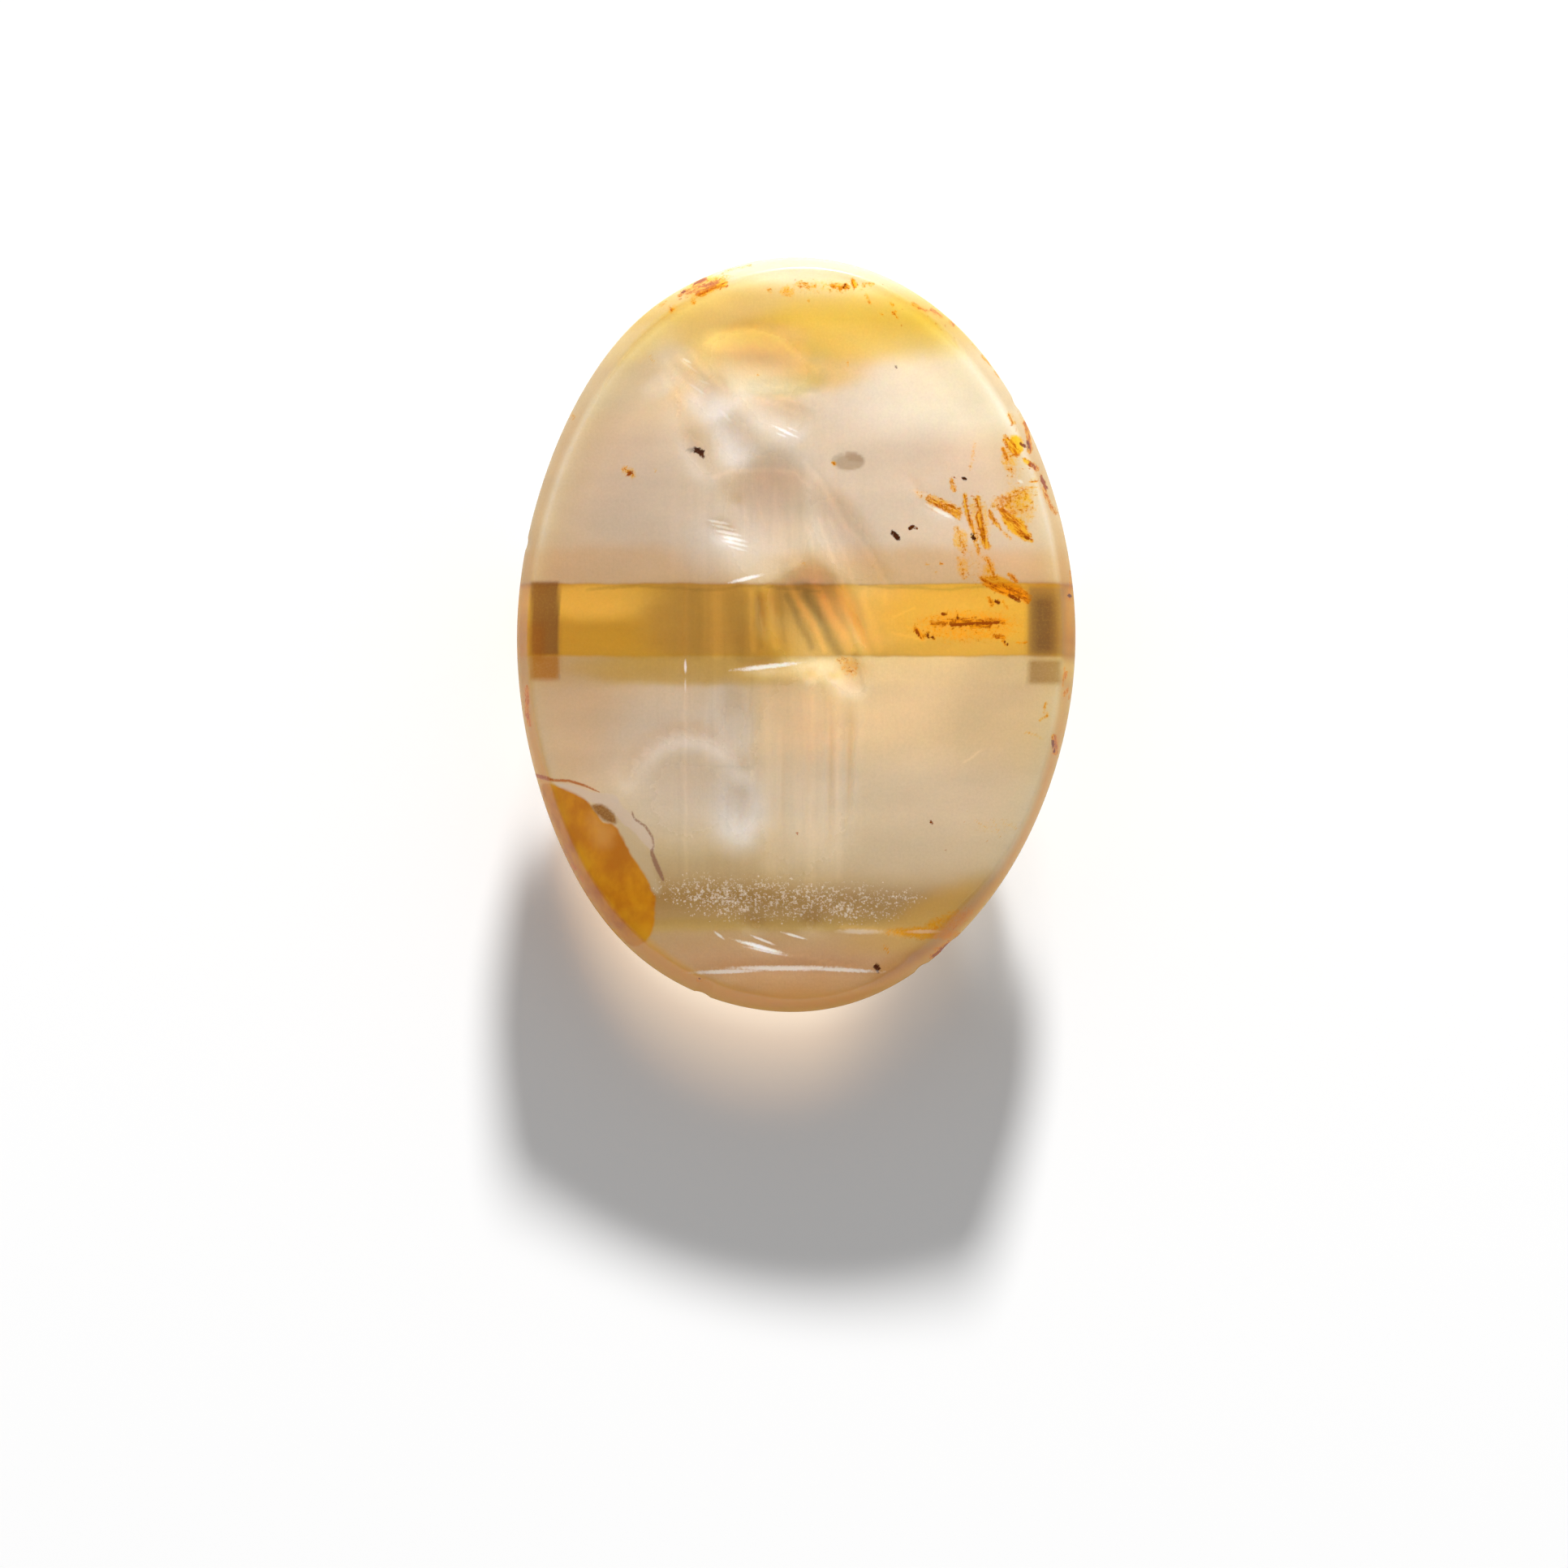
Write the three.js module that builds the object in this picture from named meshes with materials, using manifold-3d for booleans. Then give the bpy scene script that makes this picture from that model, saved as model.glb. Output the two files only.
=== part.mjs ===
// An oval ring stone of banded agate, engraved in intaglio with a standing armed goddess.
// The stone is one natural solid: its bands grew together and nothing is set into it.
// Millimetres. The flat back rests on z = 0 and the engraved face looks along +Z.
// +Y runs from the figure's feet to its head, and +X is the viewer's right.

import * as THREE from 'three';
import { mergeVertices } from 'three/addons/utils/BufferGeometryUtils.js';
import Module from 'manifold-3d';

// Driving dimensions of the stone
const stoneLength = 15.0;
const stoneWidth = 11.1;
const stoneThickness = 3.4;
// The face is flat but for this rise from its edge to its middle
const faceCrown = 0.06;
// The front bevel, from the face's edge out and down to the girdle
const faceBevelWidth = 0.28;
const faceBevelDepth = 0.42;
// The girdle is the widest line of the stone, a narrow upright band
const girdleBand = 0.1;
// The back's edge lies this far inside the girdle, and the side between them swells a little
const backTaper = 0.84;
const sideSwell = 0.05;

// Driving dimensions of the engraving: the ground line's middle, the figure and its deepest cut
const groundLineAcross = -0.2;
const groundLineUp = -6.61;
const figureHeight = 12.7;
const deepestCut = 0.3;

// Levels of the stone, worked out from the sizes above
const faceEdgeLevel = stoneThickness - faceCrown;
const girdleTop = faceEdgeLevel - faceBevelDepth;
const girdleBottom = girdleTop - girdleBand;

// Counts of facets
const outlineSteps = 80;
const sideSteps = 3;
const crownSteps = 3;
const broadCutStepsAlong = 14;
const broadCutStepsAround = 20;
const cutStepsAlong = 8;
const cutStepsAround = 12;
const fineCutStepsAlong = 6;
const fineCutStepsAround = 8;
// A cut at least this wide gets the broad cuts' counts, and a narrower one than the second the fine
// cuts' counts; both are shares of figureHeight
const broadCutShare = 0.058;
const fineCutShare = 0.024;
// Facets that the cuts leave thinner than this are merged away
const sliverTolerance = 0.002;

// The oval was ground by hand, so it stands out or in at places on its rim.
// Rows are the place in degrees, its spread in degrees, and the swell as a share of the radius.
const outlineSwellShares = [
  [24, 20, -0.008],
  [124, 14, 0.008],
  [157, 16, -0.008],
  [232, 22, 0.024],
  [305, 20, -0.012],
  [330, 20, -0.01],
];

// Flakes lost from the rim: degrees on the rim, then length along it, reach inwards and height,
// as shares of the stone's thickness
const rimChipShares = [
  [253, 0.26, 0.012, 0.34],
  [297, 0.22, 0.012, 0.3],
  [306, 0.16, 0.01, 0.26],
];

// The engraving's cuts. Each row is one hollow of a cutting wheel or ball drill: its middle across
// and up from the ground line, its length and width as shares of figureHeight, its depth as a share
// of deepestCut, and the turn of its length in degrees from +X.
const headCutShares = [
  [-0.043, 0.94, 0.18, 0.122, 0.67, -13],
  [-0.146, 0.907, 0.12, 0.06, 0.3, -48],
  [-0.107, 0.892, 0.092, 0.068, 0.42, 72],
  [-0.08, 0.826, 0.115, 0.066, 0.4, -66],
  [-0.017, 0.87, 0.135, 0.072, 0.4, -26],
];
const torsoCutShares = [
  [-0.028, 0.701, 0.22, 0.15, 0.83, 90],
  [-0.038, 0.737, 0.145, 0.085, 0.72, -2],
  [-0.086, 0.677, 0.079, 0.043, 0.63, -24],
  [-0.008, 0.638, 0.1, 0.03, 0.5, 0],
  [-0.057, 0.61, 0.051, 0.014, 0.18, 15],
];
const armCutShares = [
  [-0.137, 0.803, 0.125, 0.05, 0.3, 118],
  [-0.165, 0.873, 0.135, 0.042, 0.2, 98],
  [-0.17, 0.928, 0.048, 0.038, 0.2, 30],
];
const cloakCutShares = [
  [0.089, 0.67, 0.2, 0.095, 0.43, -58],
  [0.119, 0.661, 0.14, 0.015, 0.17, -47],
  [0.069, 0.666, 0.16, 0.015, 0.4, -66],
];
const tunicCutShares = [
  [0.041, 0.543, 0.2, 0.145, 0.8, -68],
  [-0.036, 0.549, 0.091, 0.015, 0.47, -82],
  [-0.014, 0.553, 0.102, 0.017, 0.67, -80],
  [0.017, 0.548, 0.122, 0.02, 0.87, -66],
  [0.053, 0.546, 0.132, 0.025, 1, -62],
  [0.107, 0.539, 0.132, 0.017, 0.53, -66],
  [0.099, 0.457, 0.09, 0.065, 0.43, -60],
  [-0.033, 0.469, 0.114, 0.02, 0.27, 4],
];
const skirtCutShares = [
  [0.025, 0.301, 0.394, 0.185, 0.5, 90],
  [0.038, 0.455, 0.036, 0.023, 0.43, 0],
  [0.076, 0.452, 0.03, 0.02, 0.43, 0],
];
const footCutShares = [
  [-0.048, 0.066, 0.063, 0.033, 0.27, -10],
  [0.041, 0.069, 0.058, 0.03, 0.27, -8],
  [-0.034, 0.033, 0.079, 0.014, 0.18, -15],
  [-0.037, 0.043, 0.043, 0.01, 0.13, -19],
  [0.013, 0.05, 0.041, 0.009, 0.12, -16],
  [-0.103, 0.051, 0.022, 0.008, 0.1, -36],
];
const groundCutShares = [
  [-0.084, -0.004, 0.152, 0.015, 0.2, 3],
  [-0.003, -0.001, 0.203, 0.018, 0.23, 0],
  [0.086, -0.004, 0.127, 0.015, 0.2, -4],
];
const spearCutShares = [
  [-0.159, 0.502, 0.762, 0.015, 0.13, 90],
];
const shieldCutShares = [
  [-0.152, 0.263, 0.19, 0.19, 0.27, 0],
  [-0.081, 0.377, 0.127, 0.058, 0.23, 90],
  [-0.071, 0.247, 0.11, 0.07, 0.38, 88],
  [-0.08, 0.313, 0.114, 0.01, 0.2, 0],
];
const victoryCutShares = [
  [0.203, 0.75, 0.066, 0.017, 0.17, -60],
  [0.236, 0.714, 0.058, 0.018, 0.23, -20],
  [0.238, 0.784, 0.046, 0.011, 0.1, 80],
  [0.299, 0.8, 0.056, 0.011, 0.1, 72],
  [0.264, 0.701, 0.107, 0.011, 0.1, -76],
  [0.285, 0.695, 0.122, 0.013, 0.13, -74],
  [0.301, 0.682, 0.102, 0.01, 0.1, -72],
  [0.361, 0.701, 0.122, 0.018, 0.13, -52],
  [0.346, 0.729, 0.102, 0.014, 0.1, -50],
  [0.327, 0.59, 0.097, 0.017, 0.1, -30],
];

// The skirt's long folds are one cut repeated: places across, turns, and the cut they share
const skirtFoldAcrossShares = [-0.004, 0.033, 0.07, 0.099];
const skirtFoldTurns = [90, 90, 89, 88];
const skirtFoldShares = { up: 0.292, long: 0.34, wide: 0.019, deep: 0.66 };

// The helmet's crest and the shield's rim are rows of short cuts along an arc of an oval
const crestArcShares = {
  across: -0.045, up: 0.93, reachAcross: 0.1, reachUp: 0.058,
  from: 20, to: 150, cuts: 7, wide: 0.02, deep: 0.24,
};
const shieldRimShares = {
  across: -0.152, up: 0.263, reachAcross: 0.097, reachUp: 0.102,
  from: 25, to: 160, cuts: 8, wide: 0.042, deep: 0.24,
};
// A row's cuts are this much longer than their spacing, so that they run into one groove
const arcCutOverlapShare = 1.5;
// A hollow's ellipsoid has its middle over the face by this share of the depth
const cutLiftShare = 0.6;

const agate = new THREE.MeshStandardMaterial({
  name: 'banded_agate',
  color: new THREE.Color('#d6b58a'),
  roughness: 0.22,
  metalness: 0,
});

const wasm = await Module();
wasm.setup();

function geometryToSolid(geometry) {
  const bare = geometry.clone();
  bare.deleteAttribute('normal');
  bare.deleteAttribute('uv');
  const merged = mergeVertices(bare);
  return new wasm.Manifold(new wasm.Mesh({
    numProp: 3,
    vertProperties: new Float32Array(merged.attributes.position.array),
    triVerts: new Uint32Array(merged.index.array),
  }));
}

function solidToGeometry(solid) {
  const mesh = solid.getMesh();
  const geometry = new THREE.BufferGeometry();
  geometry.setAttribute('position', new THREE.BufferAttribute(mesh.vertProperties, mesh.numProp));
  geometry.setIndex(new THREE.BufferAttribute(mesh.triVerts, 1));
  geometry.computeVertexNormals();
  return geometry;
}

// A point of the hand-ground oval of radius 1, before it is fitted to the stone's sizes
function roughOvalPoint(turn) {
  const degrees = THREE.MathUtils.radToDeg(turn);
  let reach = 1;
  for (const [place, spread, swell] of outlineSwellShares) {
    const away = THREE.MathUtils.euclideanModulo(degrees - place + 180, 360) - 180;
    reach += swell * Math.exp(-((away / spread) ** 2));
  }
  return new THREE.Vector2(Math.cos(turn), Math.sin(turn)).multiplyScalar(reach);
}

// The girdle's outline, centred and as wide and long as the stone
function girdleOutline() {
  const rough = [];
  for (let step = 0; step < outlineSteps; step += 1) {
    rough.push(roughOvalPoint((step / outlineSteps) * Math.PI * 2));
  }
  const reach = new THREE.Box2().setFromPoints(rough);
  const middle = reach.getCenter(new THREE.Vector2());
  const span = reach.getSize(new THREE.Vector2());
  const stoneSpan = new THREE.Vector2(stoneWidth, stoneLength);
  return rough.map((point) => point.sub(middle).divide(span).multiply(stoneSpan));
}

const girdle = girdleOutline();

// The direction out of the outline at one of its points
function outward(index) {
  const next = girdle[(index + 1) % outlineSteps];
  const last = girdle[(index + outlineSteps - 1) % outlineSteps];
  const along = next.clone().sub(last).normalize();
  return new THREE.Vector2(along.y, -along.x);
}

// The girdle's outline drawn in by inset, shrunk towards the middle, at a level
function ring(inset, level, shrinkShare = 1) {
  return girdle.map((point, index) => {
    const place = point.clone().addScaledVector(outward(index), -inset);
    place.multiplyScalar(shrinkShare);
    return new THREE.Vector3(place.x, place.y, level);
  });
}

function crownLevel(reachShare) {
  return faceEdgeLevel + faceCrown * (1 - reachShare * reachShare);
}

// Rings from the edge of the flat back, up the side, over the girdle and the bevel, to the face
function stoneRings() {
  const rings = [];
  for (let step = 0; step < sideSteps; step += 1) {
    const climb = step / sideSteps;
    const swell = sideSwell * Math.sin(climb * Math.PI);
    rings.push(ring(backTaper * (1 - climb) - swell, girdleBottom * climb));
  }
  rings.push(ring(0, girdleBottom));
  rings.push(ring(0, girdleTop));
  for (let step = 0; step < crownSteps; step += 1) {
    const reachShare = 1 - step / crownSteps;
    rings.push(ring(faceBevelWidth, crownLevel(reachShare), reachShare));
  }
  return rings;
}

// A closed skin through rings of equal count, with a fan to one point at each end
function loft(rings, bottomPoint, topPoint) {
  const corners = [bottomPoint, ...rings.flat(), topPoint];
  const count = rings[0].length;
  const indices = [];
  const corner = (level, index) => 1 + level * count + (index % count);
  const last = rings.length - 1;
  for (let index = 0; index < count; index += 1) {
    indices.push(0, corner(0, index + 1), corner(0, index));
    for (let level = 0; level < last; level += 1) {
      indices.push(corner(level, index), corner(level, index + 1), corner(level + 1, index));
      indices.push(corner(level, index + 1), corner(level + 1, index + 1), corner(level + 1, index));
    }
    indices.push(corner(last, index), corner(last, index + 1), corners.length - 1);
  }
  const geometry = new THREE.BufferGeometry().setFromPoints(corners);
  geometry.setIndex(indices);
  return geometry;
}

// The face's level at a place, from how far out it lies on the oval
function faceLevelAt(across, up) {
  const reach = Math.hypot(across / (stoneWidth / 2), up / (stoneLength / 2));
  return crownLevel(Math.min(reach, 1));
}

// How many facets a cut has round its length and along it
function cutFacets(wideShare) {
  if (wideShare >= broadCutShare) {
    return [broadCutStepsAround, broadCutStepsAlong];
  }
  if (wideShare >= fineCutShare) {
    return [cutStepsAround, cutStepsAlong];
  }
  return [fineCutStepsAround, fineCutStepsAlong];
}

// One hollow, as the ellipsoid that the wheel or drill leaves
function hollow([acrossShare, upShare, longShare, wideShare, deepShare, turn]) {
  const across = groundLineAcross + acrossShare * figureHeight;
  const up = groundLineUp + upShare * figureHeight;
  const depth = deepShare * deepestCut;
  const lift = cutLiftShare * depth;
  const faceShare = Math.sqrt(1 - (cutLiftShare / (1 + cutLiftShare)) ** 2);
  const geometry = new THREE.SphereGeometry(1, ...cutFacets(wideShare));
  geometry.rotateZ(Math.PI / 2);
  geometry.scale(
    (longShare * figureHeight) / 2 / faceShare,
    (wideShare * figureHeight) / 2 / faceShare,
    depth + lift,
  );
  geometry.rotateZ(THREE.MathUtils.degToRad(turn));
  geometry.translate(across, up, faceLevelAt(across, up) + lift);
  return geometry;
}

// A row of short cuts along an arc, each turned along it
function arcHollows(arc) {
  const rows = [];
  const stepTurn = (arc.to - arc.from) / (arc.cuts - 1);
  for (let index = 0; index < arc.cuts; index += 1) {
    const turn = THREE.MathUtils.degToRad(arc.from + index * stepTurn);
    const alongAcross = -arc.reachAcross * Math.sin(turn);
    const alongUp = arc.reachUp * Math.cos(turn);
    const spacing = Math.hypot(alongAcross, alongUp) * THREE.MathUtils.degToRad(stepTurn);
    rows.push([
      arc.across + arc.reachAcross * Math.cos(turn),
      arc.up + arc.reachUp * Math.sin(turn),
      spacing * arcCutOverlapShare,
      arc.wide,
      arc.deep,
      THREE.MathUtils.radToDeg(Math.atan2(alongUp, alongAcross)),
    ]);
  }
  return rows.map(hollow);
}

function skirtFoldHollows() {
  const { up, long, wide, deep } = skirtFoldShares;
  return skirtFoldAcrossShares.map((across, index) => (
    hollow([across, up, long, wide, deep, skirtFoldTurns[index]])
  ));
}

// A flake scar on the rim, lying along the girdle
function rimChip([place, longShare, inShare, tallShare]) {
  const index = Math.round((place / 360) * outlineSteps) % outlineSteps;
  const point = girdle[index];
  const out = outward(index);
  const geometry = new THREE.SphereGeometry(1, cutStepsAround, cutStepsAlong);
  geometry.rotateZ(Math.PI / 2);
  geometry.scale(
    (longShare * stoneThickness) / 2,
    inShare * stoneThickness,
    (tallShare * stoneThickness) / 2,
  );
  geometry.rotateZ(Math.atan2(out.y, out.x) - Math.PI / 2);
  geometry.translate(point.x, point.y, girdleTop);
  return geometry;
}

function engravedStone() {
  const back = new THREE.Vector3(0, 0, 0);
  const top = new THREE.Vector3(0, 0, stoneThickness);
  const stone = geometryToSolid(loft(stoneRings(), back, top));
  const cutters = [
    ...headCutShares.map(hollow),
    ...arcHollows(crestArcShares),
    ...torsoCutShares.map(hollow),
    ...armCutShares.map(hollow),
    ...cloakCutShares.map(hollow),
    ...tunicCutShares.map(hollow),
    ...skirtCutShares.map(hollow),
    ...skirtFoldHollows(),
    ...footCutShares.map(hollow),
    ...groundCutShares.map(hollow),
    ...spearCutShares.map(hollow),
    ...shieldCutShares.map(hollow),
    ...arcHollows(shieldRimShares),
    ...victoryCutShares.map(hollow),
    ...rimChipShares.map(rimChip),
  ];
  const cut = cutters.reduce((solid, cutter) => solid.subtract(geometryToSolid(cutter)), stone);
  return cut.simplify(sliverTolerance);
}

const ringStone = new THREE.Mesh(solidToGeometry(engravedStone()), agate);
ringStone.name = 'ring_stone';

const group = new THREE.Group();
group.add(ringStone);

export default group;
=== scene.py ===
"""Looks of an engraved oval ring stone of banded agate, lying face up on a pale table."""

import math

import bpy
import numpy as np
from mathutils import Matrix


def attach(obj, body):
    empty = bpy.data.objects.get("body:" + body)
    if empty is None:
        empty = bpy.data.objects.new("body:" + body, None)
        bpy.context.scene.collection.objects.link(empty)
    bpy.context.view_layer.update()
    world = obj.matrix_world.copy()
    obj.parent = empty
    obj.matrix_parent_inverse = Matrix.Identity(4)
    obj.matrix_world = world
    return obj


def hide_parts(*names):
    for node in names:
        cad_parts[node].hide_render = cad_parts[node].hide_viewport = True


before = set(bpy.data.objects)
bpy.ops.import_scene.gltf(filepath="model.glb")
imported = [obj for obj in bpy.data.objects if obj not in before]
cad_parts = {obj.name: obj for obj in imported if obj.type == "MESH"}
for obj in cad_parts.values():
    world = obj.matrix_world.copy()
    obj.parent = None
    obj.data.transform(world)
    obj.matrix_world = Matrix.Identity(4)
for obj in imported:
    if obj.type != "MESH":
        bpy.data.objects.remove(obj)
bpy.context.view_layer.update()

MM = 0.001
WHITE = (1, 1, 1, 1)
BLACK = (0, 0, 0, 1)

# Driving sizes of the stone, in millimetres, as in the solid
STONE_LENGTH = 15.0
STONE_WIDTH = 11.1
STONE_THICKNESS = 3.4
FACE_CROWN = 0.06
BEVEL_WIDTH = 0.28
BEVEL_DEPTH = 0.42
GIRDLE_BAND = 0.1
BACK_TAPER = 0.84
SIDE_SWELL = 0.05
FACE_EDGE = STONE_THICKNESS - FACE_CROWN
GIRDLE_TOP = FACE_EDGE - BEVEL_DEPTH
GIRDLE_BOTTOM = GIRDLE_TOP - GIRDLE_BAND

# The engraving and the marks are laid out on a drawing of the face: 62 units to the millimetre,
# across to the right and down from the drawing's corner, with the stone's middle at this place
UNITS = 62.0
MIDDLE_ACROSS = 981.0
MIDDLE_DOWN = 782.0


def from_middle(across, down):
    """A place on the drawing, in millimetres to the right of the stone's middle and above it."""
    return (across - MIDDLE_ACROSS) / UNITS, (MIDDLE_DOWN - down) / UNITS


def srgb(red, green, blue):
    """A colour from its screen values of 0 to 255."""
    def linear(value):
        value /= 255
        return value / 12.92 if value <= 0.04045 else ((value + 0.055) / 1.055) ** 2.4
    return (linear(red), linear(green), linear(blue), 1.0)


# The oval was ground by hand: place in degrees, spread in degrees, swell as a share of the radius
OUTLINE_SWELL_SHARES = (
    (24, 20, -0.008),
    (124, 14, 0.008),
    (157, 16, -0.008),
    (232, 22, 0.024),
    (305, 20, -0.012),
    (330, 20, -0.01),
)
# The bevel is wider at some places: place and spread in degrees, and by how much of its width
BEVEL_SWELL_SHARES = ((306, 14, 0.45), (232, 16, 0.2))

# Flakes lost from the rim: degrees, half length along it, level of the middle, half height, reach in
RIM_CHIPS = (
    (250.5, 1.6, 2.95, 0.9, 0.035),
    (296.8, 1.4, 3.0, 0.8, 0.035),
    (303.5, 2.2, 2.6, 0.7, 0.03),
    (38, 1.2, 2.95, 0.25, 0.03),
    (166, 1.0, 2.9, 0.22, 0.02),
)

# Cuts of the engraver's wheels: across, down, length and width in drawing units, depth in
# millimetres, turn in degrees, and how square the hollow is (0 is a worn hollow with no edge, and
# VEE is a groove with two flat walls that meet in a line)
VEE = -1
CUTS = {
    "helmet": (
        (934, 452, 160, 112, 0.2, -13, 0),
        (936, 451, 150, 78, 0.06, -14, 2.4),
        (986, 458, 62, 20, 0.06, -20, 0),
    ),
    "head": (
        (853, 478, 108, 54, 0.09, -48, 0),
        (884, 490, 84, 62, 0.13, 72, 0),
        (905, 542, 104, 60, 0.12, -66, 0),
        (955, 507, 124, 66, 0.12, -26, 0),
        (966, 486, 84, 7, 0.02, -10, VEE),
        (968, 496, 84, 7, 0.02, -16, VEE),
        (968, 507, 76, 7, 0.02, -20, VEE),
        (969, 531, 40, 10, 0.05, -22, VEE),
        (965, 538, 24, 7, 0.035, -22, VEE),
        (846, 447, 16, 6, 0.03, -35, VEE),
    ),
    "arm": (
        (860, 560, 110, 44, 0.09, 118, 0),
        (838, 505, 116, 36, 0.06, 98, 0),
        (834, 462, 40, 32, 0.06, 30, 0),
    ),
    "torso": (
        (946, 640, 200, 136, 0.25, 90, 0),
        (938, 612, 126, 70, 0.08, -2, 2.4),
        (914, 622, 50, 46, 0.18, 0, 0),
        (962, 622, 50, 46, 0.18, 0, 0),
        (900, 659, 62, 34, 0.19, -24, 1.1),
        (962, 690, 84, 26, 0.12, 0, 0),
        (923, 712, 40, 11, 0.055, 15, VEE),
    ),
    "cloak": (
        (1038, 665, 180, 84, 0.13, -58, 0),
        (1062, 672, 110, 12, 0.05, -47, VEE),
        (1022, 668, 126, 12, 0.08, -66, VEE),
    ),
    "tunic": (
        (1000, 765, 180, 130, 0.24, -68, 0),
        (940, 760, 72, 12, 0.14, -82, 1.3),
        (957, 757, 80, 13, 0.19, -80, 1.3),
        (981, 761, 96, 16, 0.25, -66, 1.2),
        (1010, 762, 104, 20, 0.3, -62, 1.2),
        (1052, 768, 104, 13, 0.16, -66, 1.3),
        (1046, 832, 76, 56, 0.13, -60, 0),
        (942, 823, 90, 16, 0.08, 4, VEE),
    ),
    "skirt": (
        (985, 955, 310, 150, 0.1, 90, 3.0),
        (990, 955, 300, 130, 0.15, 90, 0),
        (965, 962, 270, 16, 0.16, 90, 0),
        (994, 962, 280, 16, 0.18, 90, 0),
        (1023, 962, 276, 16, 0.18, 89, 0),
        (1046, 950, 220, 14, 0.14, 88, 0),
        (998, 834, 28, 18, 0.13, 0, 0),
        (1028, 836, 24, 16, 0.13, 0, 0),
    ),
    "feet": (
        (941, 1166, 62, 11, 0.055, -15, VEE),
        (939, 1158, 34, 8, 0.04, -19, VEE),
        (978, 1153, 32, 7, 0.035, -16, VEE),
        (887, 1152, 17, 6, 0.03, -36, VEE),
        (930, 1140, 50, 26, 0.08, -10, 0),
        (1000, 1138, 46, 24, 0.08, -8, 0),
    ),
    "ground": (
        (902, 1195, 120, 12, 0.06, 3, VEE),
        (966, 1193, 160, 14, 0.07, 0, VEE),
        (1036, 1195, 100, 12, 0.06, -4, VEE),
    ),
    "spear": (
        (843, 797, 600, 12, 0.04, 90, 0),
        (845, 822, 40, 8, 0.04, 90, VEE),
    ),
    "shield": (
        (848, 985, 176, 176, 0.09, 0, 0),
        (904, 895, 100, 46, 0.07, 90, 3.0),
        (912, 998, 100, 66, 0.11, 88, 0),
        (905, 946, 90, 8, 0.05, 0, 0),
    ),
    "victory": (
        (1128, 602, 52, 13, 0.05, -60, 0),
        (1154, 630, 46, 14, 0.07, -20, VEE),
        (1155, 575, 36, 9, 0.03, 80, 0),
        (1203, 562, 44, 9, 0.03, 72, 0),
        (1176, 640, 84, 9, 0.03, -76, 0),
        (1192, 645, 96, 10, 0.04, -74, 0),
        (1205, 655, 80, 8, 0.03, -72, 0),
        (1252, 640, 96, 14, 0.04, -52, 0),
        (1240, 618, 80, 11, 0.03, -50, 0),
        (1225, 728, 76, 13, 0.03, -30, 0),
    ),
}

# Rows of short cuts along an arc: middle across and down, reaches, from and to in degrees, count,
# width in drawing units, depth in millimetres and squareness
CUT_ARCS = {
    "shield_rim": (848, 985, 76, 80, 25, 160, 16, 44, 0.06, 0),
}
ARC_OVERLAP = 4.0

# Counts of cells over the face, and how far its cells are drawn in towards the middle
FACE_COLUMNS = 228
FACE_ROWS = 308
CENTRE_PULL = 0.25
# The face's grid stops this far inside the bevel
FACE_INSET = 0.03
# The bevel and the girdle from the face down: share of the bevel's width, then inset and level
# from the face's edge, in millimetres
BEVEL_PROFILE = (
    (1.0, 0.01, -0.001), (0.95, 0.0, -0.012), (0.86, 0.0, -0.045), (0.72, -0.006, -0.115),
    (0.54, -0.012, -0.205), (0.36, -0.012, -0.295), (0.2, -0.008, -0.37), (0.08, 0.0, -0.425),
    (0.0, 0.0, -0.475), (0.0, 0.008, -0.52),
)
# The side under the girdle: levels of its top and foot, insets of its first ring and of the
# others, and how many others there are
SIDE_TOP = GIRDLE_BOTTOM - 0.05
SIDE_FOOT = 0.07
SIDE_TOP_INSET = 0.03
SIDE_INSET = 0.012
SIDE_RINGS = 12
# The rounded edge of the back: inset and level
FOOT_PROFILE = ((0.855, 0.035), (0.875, 0.01), (0.91, 0.0), (1.0, 0.0))
OUTLINE_STEPS = 3600
# The face's unevenness, in millimetres, and by how many drawing units its marks are shaken
UNEVENNESS = 0.004
SHAKE = 1.6
# Levels between which the marks of the front fade out under the girdle, and over which cuts begin
FRONT_FADE = (2.78, 2.9)
CUTS_OVER = FACE_EDGE - 0.005


def wave_noise(x, y, seed, scale):
    """Smooth seeded noise of about -1 to 1, made of turned sine waves in three sizes."""
    draw = np.random.default_rng(seed)
    total = np.zeros_like(x)
    size = 1.0
    reach = 0.0
    for _ in range(3):
        for _ in range(6):
            turn = draw.uniform(0, math.tau)
            shift = draw.uniform(0, math.tau)
            pace = scale * draw.uniform(0.7, 1.4)
            total += size * np.sin((x * math.cos(turn) + y * math.sin(turn)) * pace + shift)
        reach += size * 2.4
        size *= 0.5
        scale *= 2.1
    return total / reach


def smooth_max(a, b, blend):
    """The larger of two fields, with the crease between them rounded."""
    near = np.maximum(blend - np.abs(a - b), 0) / blend
    return np.maximum(a, b) + near * near * blend / 4


def oval_place(x, y, middle, reaches, turn):
    """Places as shares of an oval's two reaches, along it and beside it."""
    angle = math.radians(turn)
    dx, dy = x - middle[0], y - middle[1]
    along = dx * math.cos(angle) + dy * math.sin(angle)
    beside = dy * math.cos(angle) - dx * math.sin(angle)
    return along / reaches[0], beside / reaches[1]


def line_place(x, y, start, end):
    """How far along a straight line each place is, from 0 to 1, and how far from the line."""
    dx, dy = end[0] - start[0], end[1] - start[1]
    share = np.clip(((x - start[0]) * dx + (y - start[1]) * dy) / (dx * dx + dy * dy), 0, 1)
    return share, np.hypot(x - start[0] - share * dx, y - start[1] - share * dy)


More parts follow.
